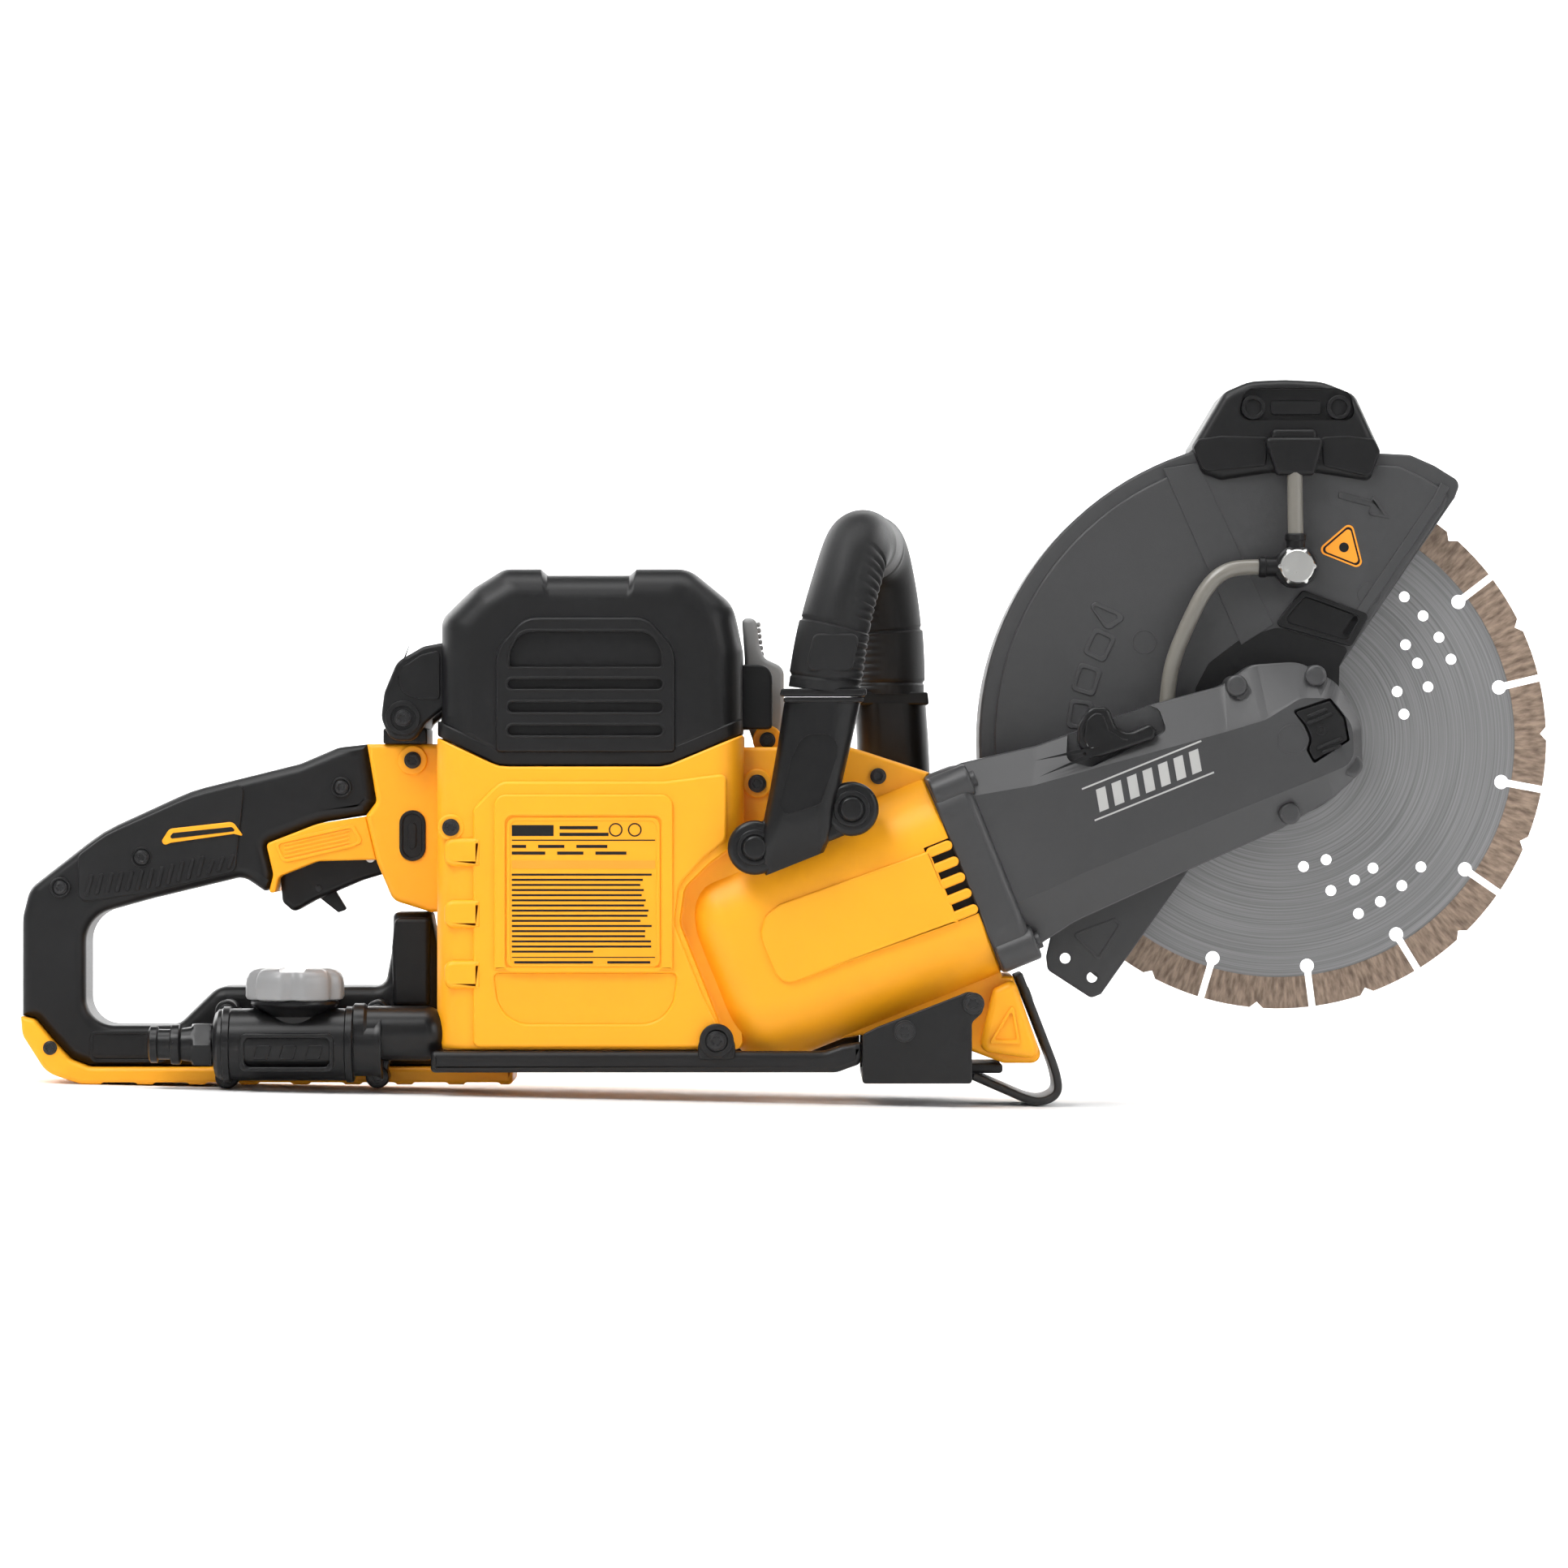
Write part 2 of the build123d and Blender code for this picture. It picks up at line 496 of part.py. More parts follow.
def lock_face(gap):
    face = outline([(214.3, 166.5, 1), (229, 171.4, 1), (234.8, 164), (236.5, 155, 1), (222.7, 146.2, 1),
                    (220.2, 150.6), (221.6, 155.2), (219.0, 161.4)])
    return offset(face, gap) if gap else face


def lock_pocket():
    return slab(lock_face(0.35), -60, -46.9)


def lock_button():
    body = slab(lock_face(0), -53.2, -49.6)
    body -= rod(225.5, 159.2, 1.3, -54, -52)
    return body + rod(229.3, 157.0, 1.8, -50, -43.6)


def gearbox_cover():
    face = outline(ARM)
    plate = slab(face, *COVER_PLATE_Y) - axial(Rectangle(200, 200), 122, 220)
    body = plate + rod(SPINDLE_X, SPINDLE_Z, NECK_R, -14, -10.4) + rod(SPINDLE_X, SPINDLE_Z, 14.9, -10.4, -5)
    body -= [rod(SPINDLE_X, SPINDLE_Z, 13.05, -17.5, -8), rod(SPINDLE_X, SPINDLE_Z, 8.6, -20, 0)]
    body -= rooms(CASE_SCREWS, 4.0)
    return body


def guard_retainer():
    return ring(SPINDLE_X, SPINDLE_Z, 31, 15, -10.4, -7.9)


def spindle():
    return rod(SPINDLE_X, SPINDLE_Z, 8.0, -46.0, -1.0) - rod(SPINDLE_X, SPINDLE_Z, 5.05, -16, 0)


def spindle_bearings():
    return group([ring(SPINDLE_X, SPINDLE_Z, 13, 8.05, -46, -41.3), ring(SPINDLE_X, SPINDLE_Z, 13, 8.05, -17, -8.1)])


def inner_flange():
    body = rod(SPINDLE_X, SPINDLE_Z, FLANGE_R, 0, 5) + rod(SPINDLE_X, SPINDLE_Z, 14, -1, 0)
    body += rod(SPINDLE_X, SPINDLE_Z, ARBOR_R - 0.05, 5, 6.8)
    return body - [rod(SPINDLE_X, SPINDLE_Z, 5.05, -2, 8), ring(SPINDLE_X, SPINDLE_Z, 22, 14, 3.5, 5.1)]


def outer_flange():
    body = rod(SPINDLE_X, SPINDLE_Z, FLANGE_R, 7, 10) + rod(SPINDLE_X, SPINDLE_Z, 20, 10, 12)
    return body - [rod(SPINDLE_X, SPINDLE_Z, 5.05, 6, 13), ring(SPINDLE_X, SPINDLE_Z, 22, 14, 6.9, 8.5)]


def wheel_bolt():
    head = slab(Pos(SPINDLE_X, SPINDLE_Z) * RegularPolygon(8.5, 6, major_radius=False), 13.5, 19)
    return head + rod(SPINDLE_X, SPINDLE_Z, 12, 12, 13.5) + rod(SPINDLE_X, SPINDLE_Z, 5.0, -15, 12)


def slot_cut(y0, y1):
    one = slab(Pos(107.5, 0) * Rectangle(20, SLOT_W) + Pos(SLOT_ROOT_R, 0) * Circle(3.0), y0, y1)
    return [wheel_at(FIRST_SLOT - 24 * i) * one for i in range(SEGMENTS)]


def wheel_at(angle):
    """Places a shape drawn about the origin at the spindle, turned from +X towards +Z."""
    return Pos(SPINDLE_X, 0, SPINDLE_Z) * Rot(0, -angle, 0)


def blade_core():
    body = ring(SPINDLE_X, SPINDLE_Z, CORE_R, ARBOR_R, *CORE_Y)
    for radius, angles in COOLING_HOLES:
        for angle in angles:
            body -= [wheel_at(angle + 90 * i) * rod(radius, 0, 2.3, 4, 8) for i in range(4)]
    return body - slot_cut(4, 8)


def blade_segments():
    band = ring(SPINDLE_X, SPINDLE_Z, WHEEL_R, CORE_R, *SEGMENT_Y) - slot_cut(4, 8)
    notch = slab(outline([(-3, 0), (0, -2.6), (3, 0), (3, 3), (-3, 3)]), 4, 8)
    for i in range(SEGMENTS):
        place = wheel_at(FIRST_SLOT - 24 * i - 12) * Pos(WHEEL_R, 0, 0) * Rot(0, 90, 0)
        band -= place * notch
    return band


# ---- guard ----
def sector(radius, lip, edge):
    """Side view of the guard: a disc cut along the line of its open edge, with a front lip."""
    disc = Pos(SPINDLE_X, SPINDLE_Z) * Circle(radius)
    keep = outline([(134 + edge, 46.6 - edge), (171 + edge, 98 - edge), (237 + edge, 187 - edge), (285.6 + edge, 258),
                    (300, 300), (40, 300), (40, 20), (134, 20)])
    front = outline([(250, 255), (285.6 + edge, 258), (288.2 - lip, 265 - lip, 4), (277 - lip, 272 - lip, 4),
                     (266.6 - lip, 276.6 - lip, 8), (252, 277 - lip), (240, 270)])
    return (disc & keep) + front


def guard_shell():
    """Side plate with the hub and tail, the rim, and the far plate, joined face to face."""
    inner_y, far_y = GUARD_Y[0] + GUARD_T, GUARD_Y[1] - GUARD_T
    outside = sector(GUARD_R, 0, 0)
    behind_tail = block(95, 145, inner_y, GUARD_Y[1] + 1, 40, TAIL_Z)
    plate = slab(outside, GUARD_Y[0], inner_y) + rod(SPINDLE_X, SPINDLE_Z, 36, GUARD_Y[0], inner_y)
    plate += slab(outline([(111.5, 63, 3), (112.2, 57.2, 3), (130.7, 45.2, 3), (134.5, 46.6), (171, 98),
                           (120, 90)]), GUARD_Y[0], inner_y)
    plate -= rod(SPINDLE_X, SPINDLE_Z, NECK_R + RUN, -20, -8)
    plate -= [rod(119.7, 62.2, 2.25, -20, 0), rod(131.1, 54.1, 2.25, -20, 0), rod(TEE_X, TEE_Z, 4.05, -20, -5)]
    rim = slab(outside, inner_y, far_y) - slab(sector(GUARD_R - GUARD_T, GUARD_T, 60), inner_y, far_y)
    far_plate = slab(outside, far_y, GUARD_Y[1]) - rod(SPINDLE_X, SPINDLE_Z, 42, 20, 40)
    return group([plate, rim - behind_tail, far_plate - behind_tail])


def guard_pad():
    return slab(outline([(220.6, 219, 2), (249.2, 208.5, 2), (241.4, 194.7, 2), (208.5, 204, 2)]), -15.0, -13.4)


GUARD_GRIP = [(173.3, 280, 2), (182, 266.2, 4), (206.8, 268.7), (226.7, 268.7), (249.2, 265.2, 3), (254, 278, 3),
              (243, 302, 6), (229.3, 307.6, 20), (213.7, 308.5, 60), (198, 307.8, 20), (187, 303, 6)]


def guard_handle():
    body = slab(outline(GUARD_GRIP), GUARD_Y[0] - 4, GUARD_Y[1] + 3.4)
    body -= slab(sector(GUARD_R + 0.05, -0.05, 0), *GUARD_Y)
    recess = outline([(193.2, 292, 3), (242.8, 292, 3), (240, 304.3, 4), (196, 304.3, 4)])
    recess -= [Pos(199.5, 296.5) * Circle(5.2), Pos(235.9, 296.5) * Circle(5.2)]
    body -= [slab(recess, -20, -8), slab(recess, 29, 40)]
    return body


def nozzle_block():
    face = outline([(204, 283, 1), (209, 268, 1), (225, 268, 1), (229, 283, 1)])
    return slab(face, -24, GUARD_Y[0] - 4)


def tee_fitting():
    body = rod(TEE_X, TEE_Z, 9, -25.2, GUARD_Y[0])
    body += Pos(208.4, HOSE_Y, TEE_Z) * Rot(0, 90, 0) * Cylinder(4.15, 13.6)
    body += Pos(TEE_X, HOSE_Y, 236.6) * Cylinder(4.0, 12)
    return body - rod(TEE_X, TEE_Z, 4.05, -32, -10)


def tee_bolt():
    head = slab(Pos(TEE_X, TEE_Z) * RegularPolygon(7.1, 6, major_radius=False), -30.7, -25.2)
    return head + rod(TEE_X, TEE_Z, 4.0, -25.2, -10.9)


def tube(points, bend, radius):
    path = FilletPolyline(*points, radius=bend) if len(points) > 2 else Line(*points)
    return sweep(Plane(origin=path @ 0, z_dir=path % 0) * Circle(radius), path)


def hose_lower():
    return tube([(162.2, HOSE_Y, 168.8), (164.0, HOSE_Y, 190), (178, HOSE_Y, TEE_Z), (201.6, HOSE_Y, TEE_Z)],
                14, HOSE_R)


def hose_upper():
    return tube([(TEE_X, HOSE_Y, 242.6), (TEE_X, HOSE_Y, 268.0)], 0, HOSE_R)


def lever_face(turn=0):
    """Side view of the guard's release lever, turned about its pin."""
    face = outline([(123.4, 155, 4), (127, 166.5, 5), (135.6, 168.4, 5), (142, 158.4, 6), (154.5, 161.6, 1.5),
                    (155.8, 158.0, 2), (128, 147.6, 3)])
    return Pos(LEVER_X, LEVER_Z) * Rot(0, 0, turn) * Pos(-LEVER_X, -LEVER_Z) * face


def lever_sweep():
    return lever_face() + [lever_face(LEVER_TRAVEL * i / 3) for i in (1, 2, 3)]


def guard_lever():
    return slab(lever_face(), -53, -42) - rod(LEVER_X, LEVER_Z, PIN_R + RUN, -60, -40)


# ---- front carry handle ----
def bail_handle():
    near = outline([(-5.2, 100), (9, 112), (20.9, 120), (30.9, 169.3), (-1, 169.3), (-5.2, 143.6), (-16, 118)])
    near += [Pos(-12.2, 109.8) * Circle(11.4), Pos(28.2, 126.0) * Circle(11.4)]
    near_leg = slab(near, -70, -56) + slab(outline([(-1, 165), (31.5, 165), (33.5, 176), (-1.5, 176)]), -74, -48)
    far = outline([(20, 112), (30, 97), (70, 121), (63.5, 144), (62.5, 169), (31, 169)])
    far += [Pos(30, 108) * Circle(11.4), Pos(60, 121) * Circle(11.4)]
    far_leg = slab(far, 32, 46) + slab(outline([(30, 165), (62.6, 165), (62, 176), (29, 176)]), 32, 59)
    body = near_leg + far_leg
    body -= slab(outline([(2, 118, 3), (18, 124, 3), (24, 150, 3), (21, 157.3, 4), (4, 157.3, 4)]), -71, -66)
    return body - rooms(BAIL_SCREWS)


def bail_grip():
    body = tube([(17, -60, 176.2), (30.5, -60, 236.6), (36, 44, 236.6), (45.5, 44, 176.2)], 22, 15.5)
    body -= block(-50, 100, -90, 90, 150, 176)
    return body


# ---- base frame ----
def lower_rail(near):
    y0 = -59.5 if near else 27.5
    bar = slab(outline([(-148, 15.5, 2), (24, 15.5, 6), (32.5, 19, 1), (32.5, 28.5, 1), (24, 27, 4), (17, 24.5, 6),
                        (-148, 24.5, 2)]), y0, y0 + 8)
    bar &= block(-200, 100, -100, 100, 0, 24.6) + block(20, 40, -100, -56.2, 20, 40)
    if near:
        bar += slab(Pos(-28.2, 28.9) * Circle(7.8), y0, -57.7)
        bar += slab(outline([(-36, 20), (-20.4, 20), (-20.4, 28.9), (-36, 28.9)]), y0, -57.7)
    return bar - rooms(RAIL_SCREWS)


def front_bracket():
    face = outline([(32.8, 10.9, 2), (78.7, 10.9, 2), (78.7, 36.7, 3), (84.6, 42, 5), (80, 50.6, 5), (74, 48, 4),
                    (38.7, 34.5, 4), (32.8, 32, 2)])
    body = slab(face, -59.5, -56.3) + slab(face, 32.3, 35.5) + block(32.8, 78.7, -59.5, 35.5, 10.9, 14.0)
    return body - rooms(BRACKET_SCREWS)


def rail_joiner():
    return block(78.8, 92.4, -34, 10, 14.2, 18.3)


def strap_foot():
    path = FilletPolyline((99.6, -12, 56.5), (113.9, -12, 17.5), (114.5, -12, 5.5), (106, -12, 1.6), (80.6, -12, 12.3),
                          radius=4.5)
    section = Plane(origin=path @ 0, x_dir=(0, 1, 0), z_dir=path % 0) * Rectangle(44, 3)
    return sweep(section, path) - screw_room(*CHIN_SCREW, 3.0)


# ---- water unit ----
def along_x(x0, x1, radius, z=VALVE_Z, y=VALVE_Y):
    return Pos((x0 + x1) / 2, y, z) * Rot(0, 90, 0) * Cylinder(radius, x1 - x0)


def valve_body():
    body = along_x(-240, -180, 15.2)
    elbow = along_x(-182, -142, 11.5, ELBOW_Z)
    body += fillet(elbow.edges().sort_by(Axis.X)[-1:], 9)
    body += Pos(KNOB_X, VALVE_Y, 39) * Cylinder(13, 10)
    for at, _, _ in VALVE_SCREWS:
        body += rod(at[0], at[2], 4.7, -30, -HANDLE_Y if at[2] > 20 else -24.1)
        body += block(at[0] - 4, at[0] + 4, -32, -27.5, min(at[2], VALVE_Z), max(at[2], VALVE_Z))
    body -= slab(outline([(-226, 17, 3), (-189.6, 17, 3), (-189.6, 31, 3), (-226, 31, 3)]), -58, -54)
    return body - rooms(VALVE_SCREWS, 8.0)


def inlet_connector():
    profile = Polyline((-267.6, 0), (-267.6, 6.8), (-266.4, 7.8), (-263.4, 7.8), (-263.4, 6.4), (-258, 6.4),
                       (-258, 8.4), (-254, 8.4), (-254, 6.8), (-248.4, 7.6), (-248.4, 0), close=True)
    body = Pos(0, VALVE_Y, VALVE_Z) * revolve(Plane.XZ * make_face(profile), Axis.X)
    return body - along_x(-269, -255, 4.0)


def inlet_nut():
    hexagon = Plane(origin=(-248.4, VALVE_Y, VALVE_Z), z_dir=(1, 0, 0)) * RegularPolygon(10, 6)
    return extrude(hexagon, amount=8.4)


def water_knob():
    lobes = Pos(KNOB_X, VALVE_Y, 46) * extrude(Circle(20.7), amount=13)
    lobes = fillet(lobes.edges().sort_by(Axis.Z)[-1:], 6)
    lobes -= block(KNOB_X - 6.2, KNOB_X + 6.2, -70, -10, 57.6, 60)
    lobes -= [Pos(KNOB_X, VALVE_Y, 52) * Rot(0, 0, 60 * i + 30) * Pos(26.5, 0) * Cylinder(8, 20) for i in range(6)]
    return lobes + Pos(KNOB_X, VALVE_Y, 45.1) * Cylinder(9, 1.8)


def side_plug():
    return slab(Pos(-157.6, 114.5) * SlotOverall(19.8, 9.4, rotation=90), -NECK_Y - 0.8, -NECK_Y) + rod(
        -157.6, 114.5, 4.3, -NECK_Y - 0.5, -NECK_Y + 1.8)


def pivot_pins():
    """Pins of the trigger, the cover latch and the guard's release lever."""
    return group([rod(TRIGGER_X, TRIGGER_Z, PIN_R, -14.5, 14.5), rod(LATCH_X, LATCH_Z, PIN_R, -20, 20),
                  rod(LEVER_X, LEVER_Z, PIN_R, -53.4, -36.2)])


def half(shape, side):
    return shape & block(-400, 400, min(0, 120 * side), max(0, 120 * side), -50, 400)


HOUSING, HANDLE_BODY = housing(), handle()
PARTS = {
    "housing_right": half(HOUSING, -1),
    "housing_left": half(HOUSING, 1),
    "handle_right": half(HANDLE_BODY, -1),
    "handle_left": half(HANDLE_BODY, 1),
    "handle_insert": handle_insert(),
    "handle_grip": handle_grip(),
    "accent_strip": slab(outline(STRIP), -HANDLE_Y - 1.5, -HANDLE_Y + 1),
    "base_skid": base_skid(),
    "side_plug": side_plug(),
    "housing_screws": screw_set(HOUSING_SCREWS),
    "handle_screws": screw_set(HANDLE_SCREWS),
    "pivot_pins": pivot_pins(),
    "trigger": trigger(),
    "lock_off": lock_off(),
    "battery_cover": battery_cover(),
    "hinge_base": hinge_base(),
    "hinge_pin": hinge_pin(),
    "latch": latch(),
    "battery_pack": battery_pack(),
    "terminal_block": terminal_block(),
    "controller_module": controller_module(),
    "switch_module": switch_module(),
    "motor_mounts": motor_mounts(),
    "motor_stator": motor_stator(),
    "motor_bearings": motor_bearings(),
    "rotor_shaft": rotor_shaft(),
    "rotor_core": rotor_core(),
    "fan": fan(),
    "bevel_pinion": bevel_pinion(),
    "bevel_gear": bevel_gear(),
    "gear_case": gear_case(),
    "gear_case_screws": screw_set(COLLAR_SCREWS + CASE_SCREWS),
    "gearbox_cover": gearbox_cover(),
    "guard_retainer": guard_retainer(),
    "lock_button": lock_button(),
    "spindle": spindle(),
    "spindle_bearings": spindle_bearings(),
    "inner_flange": inner_flange(),
    "outer_flange": outer_flange(),
    "wheel_bolt": wheel_bolt(),
    "blade_core": blade_core(),
    "blade_segments": blade_segments(),
    "guard_shell": guard_shell(),
    "guard_pad": guard_pad(),
    "guard_handle": guard_handle(),
    "nozzle_block": nozzle_block(),
    "tee_fitting": tee_fitting(),
    "tee_bolt": tee_bolt(),
    "hose_lower": hose_lower(),
    "hose_upper": hose_upper(),
    "guard_lever": guard_lever(),
    "bail_handle": bail_handle(),
    "bail_grip": bail_grip(),
    "base_frame": group([lower_rail(True), lower_rail(False), front_bracket(), rail_joiner()]),
    "frame_screws": screw_set(BAIL_SCREWS + BRACKET_SCREWS + RAIL_SCREWS + [CHIN_SCREW]),
    "strap_foot": strap_foot(),
    "valve_body": valve_body(),
    "inlet_connector": inlet_connector() + inlet_nut(),
    "valve_screws": screw_set(VALVE_SCREWS),
    "water_knob": water_knob(),
}

boxes = [shape.bounding_box() for shape in PARTS.values()]
LOW = [min(getattr(box.min, axis) for box in boxes) for axis in "XYZ"]
HIGH = [max(getattr(box.max, axis) for box in boxes) for axis in "XYZ"]
ORIGIN = Location((-(LOW[0] + HIGH[0]) / 2, -(LOW[1] + HIGH[1]) / 2, -LOW[2]))

os.makedirs("parts", exist_ok=True)
for name, shape in PARTS.items():
    export_step(ORIGIN * shape, f"parts/{name}.step")
print("shift to the origin", ORIGIN.position, "nodes", len(PARTS))
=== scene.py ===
import json
import math
import bmesh
import bpy
import numpy as np
from mathutils import Matrix, Vector


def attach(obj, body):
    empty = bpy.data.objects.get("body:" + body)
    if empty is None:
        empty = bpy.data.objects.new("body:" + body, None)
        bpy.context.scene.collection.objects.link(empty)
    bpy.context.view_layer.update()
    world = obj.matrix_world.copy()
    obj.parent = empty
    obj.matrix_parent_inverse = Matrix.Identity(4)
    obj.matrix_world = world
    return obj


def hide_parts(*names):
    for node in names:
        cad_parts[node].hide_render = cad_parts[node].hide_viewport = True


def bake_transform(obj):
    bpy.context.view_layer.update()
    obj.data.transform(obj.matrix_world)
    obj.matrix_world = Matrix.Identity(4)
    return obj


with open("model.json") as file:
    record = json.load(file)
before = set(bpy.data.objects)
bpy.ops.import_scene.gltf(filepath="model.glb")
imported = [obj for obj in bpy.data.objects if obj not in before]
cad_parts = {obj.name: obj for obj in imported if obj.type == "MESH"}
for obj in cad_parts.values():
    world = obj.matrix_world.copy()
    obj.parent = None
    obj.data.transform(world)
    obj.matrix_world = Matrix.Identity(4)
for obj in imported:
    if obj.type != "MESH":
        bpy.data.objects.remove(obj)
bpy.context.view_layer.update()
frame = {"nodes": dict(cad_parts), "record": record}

# The outlines below are in millimetres in the tool's own frame, as in the CAD source.
# A joint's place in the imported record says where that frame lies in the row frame.
JOINTS = {joint["name"]: joint for joint in frame["record"]["behaviour"]["joints"]}
SPINDLE_X, SPINDLE_Z = 211.5, 155.2
ORIGIN = Vector(JOINTS["spindle_spin"]["pos_m"]) - Vector((SPINDLE_X, 0, SPINDLE_Z)) / 1000
ARM_DEGREES = 22
ARM_ANGLE = math.radians(ARM_DEGREES)
COS, SIN = math.cos(ARM_ANGLE), math.sin(ARM_ANGLE)
BOX_Y, COVER_Y, HANDLE_Y, NECK_Y = 56.0, 52.0, 18.0, 22.0
BARREL_Y, BARREL_N = -12.0, -2.15
HINGE = (-160.7, 164.2)
LATCH = (-7.0, 155.0)
GUARD_Y = (-13.4, 35.0)
HOSE_Y, HOSE_RADIUS = -20.6, 3.3
TEE = (217.2, 228.5)
VALVE_Y, VALVE_Z, ELBOW_Z, KNOB_X = -44.0, 26.8, 31.5, -205.8


# ---- mesh tools ----
def corner_arc(before, point, after, radius, count=None, step=9.0):
    """Points round one corner of an outline: a fixed count of them, or one about every step degrees."""
    back, ahead = (before - point).normalized(), (after - point).normalized()
    half = back.angle(ahead) / 2
    centre = point + (back + ahead).normalized() * (radius / math.sin(half))
    start = point + back * radius / math.tan(half) - centre
    end = point + ahead * radius / math.tan(half) - centre
    turn = math.atan2(start.x * end.y - start.y * end.x, start.dot(end))
    count = count or max(2, math.ceil(abs(math.degrees(turn)) / step))
    return [centre + Matrix.Rotation(turn * k / count, 2) @ start for k in range(count + 1)]


def corner_path(corners, step=9.0):
    """Points of a closed outline of (x, z) or (x, z, radius) corners."""
    path = []
    for i, corner in enumerate(corners):
        point = Vector(corner[:2])
        if len(corner) < 3 or not corner[2]:
            path.append(point)
            continue
        before, after = Vector(corners[i - 1][:2]), Vector(corners[(i + 1) % len(corners)][:2])
        path += corner_arc(before, point, after, corner[2], step=step)
    return path


def fixed_path(corners, count=6):
    """A closed outline with the same number of points at every corner."""
    path = []
    for i, (x, z, radius) in enumerate(corners):
        before, after = Vector(corners[i - 1][:2]), Vector(corners[(i + 1) % len(corners)][:2])
        path += corner_arc(before, Vector((x, z)), after, radius, count)
    return path


def box_path(x0, x1, z0, z1, radius=0):
    """A rectangle in the side view, its four corners alike."""
    return corner_path([(x, z, radius) for x, z in ((x0, z0), (x1, z0), (x1, z1), (x0, z1))])


def circle(x, z, radius, count=40):
    return [Vector((x + radius * math.cos(a), z + radius * math.sin(a)))
            for a in (math.tau * i / count for i in range(count))]


def lobed(x, z, radius, depth, lobes=6, count=48):
    """A hexalobular recess."""
    return [Vector((x + (radius + depth * math.cos(lobes * a)) * math.cos(a),
                    z + (radius + depth * math.cos(lobes * a)) * math.sin(a)))
            for a in (math.tau * i / count for i in range(count))]


def slot_path(x, z, length, width, angle=0):
    half = (length - width) / 2
    turned = Matrix.Rotation(math.radians(angle), 2)
    points = [Vector((half + width / 2 * math.cos(a), width / 2 * math.sin(a)))
              for a in (math.radians(-90 + 15 * i) for i in range(13))]
    points += [-p for p in points]
    return [Vector((x, z)) + turned @ p for p in points]


def made(name, mesh, material):
    """An object from a mesh in millimetres of the tool's frame."""
    mesh.transform(Matrix.Translation(ORIGIN) @ Matrix.Scale(0.001, 4))
    mesh.materials.clear()
    mesh.materials.append(material)
    obj = bpy.data.objects.new(name, mesh)
    bpy.context.scene.collection.objects.link(obj)
    return obj


def shade(obj, angle=32):
    mesh = obj.data
    mesh.polygons.foreach_set("use_smooth", [True] * len(mesh.polygons))
    mesh.set_sharp_from_angle(angle=math.radians(angle))
    obj.modifiers.clear()
    weighted = obj.modifiers.new("normals", "WEIGHTED_NORMAL")
    weighted.keep_sharp = True
    return obj


def clean(mesh):
    work = bmesh.new()
    work.from_mesh(mesh)
    bmesh.ops.remove_doubles(work, verts=work.verts, dist=0.004)
    bmesh.ops.dissolve_degenerate(work, edges=work.edges, dist=0.002)
    bmesh.ops.recalc_face_normals(work, faces=work.faces)
    work.to_mesh(mesh)
    work.free()
    return mesh


def plate_mesh(loops, y0, y1, bevel=0.8, steps=2):
    """Outlines in the side view, the first one outer and the rest holes, with rounded edges."""
    curve = bpy.data.curves.new("outline", "CURVE")
    curve.dimensions, curve.fill_mode = "2D", "BOTH"
    curve.extrude = (y1 - y0) / 2 - bevel
    curve.bevel_depth, curve.bevel_resolution, curve.offset = bevel, steps, -bevel
    for loop in loops:
        spline = curve.splines.new("POLY")
        spline.points.add(len(loop) - 1)
        for target, point in zip(spline.points, loop):
            target.co = (point.x, point.y, 0, 1)
        spline.use_cyclic_u = True
    holder = bpy.data.objects.new("outline", curve)
    bpy.context.scene.collection.objects.link(holder)
    mesh = bpy.data.meshes.new_from_object(holder.evaluated_get(bpy.context.evaluated_depsgraph_get()))
    bpy.data.objects.remove(holder)
    bpy.data.curves.remove(curve)
    mesh.transform(Matrix.Translation((0, (y0 + y1) / 2, 0)) @ Matrix.Rotation(math.pi / 2, 4, "X"))
    return clean(mesh)


def merged(meshes):
    work = bmesh.new()
    for mesh in meshes:
        work.from_mesh(mesh)
    result = bpy.data.meshes.new("merged")
    work.to_mesh(result)
    work.free()
    return result


def plates(name, material, parts, angle=32):
    """One object from several (loops, y0, y1, bevel) plates."""
    return shade(made(name, merged([plate_mesh(*part) for part in parts]), material), angle)


def loft_mesh(rings, cap=True):
    work = bmesh.new()
    rows = [[work.verts.new(p) for p in ring] for ring in rings]
    for low, high in zip(rows, rows[1:]):
        for i in range(len(low)):
            j = (i + 1) % len(low)
            work.faces.new((low[i], low[j], high[j], high[i]))
    if cap:
        work.faces.new(rows[0][::-1])
        work.faces.new(rows[-1])
    bmesh.ops.recalc_face_normals(work, faces=work.faces)
    mesh = bpy.data.meshes.new("loft")
    work.to_mesh(mesh)
    work.free()
    return mesh


def mixed_ring(outer, inner, y, mix):
    """A ring at y that lies between two outlines of the same number of points."""
    return [Vector((a.x + (b.x - a.x) * mix, y, a.y + (b.y - a.y) * mix)) for a, b in zip(outer, inner)]


def rounded_rect(width, height, radius, steps=7):
    """Centred points of a rounded rectangle."""
    radius = min(radius, width / 2 - 0.01, height / 2 - 0.01)
    points = []
    for quarter, (sx, sy) in enumerate(((1, 1), (-1, 1), (-1, -1), (1, -1))):
        for i in range(steps + 1):
            a = math.pi / 2 * (quarter + i / steps)
            points.append(Vector((sx * (width / 2 - radius) + radius * math.cos(a),
                                  sy * (height / 2 - radius) + radius * math.sin(a))))
    return points


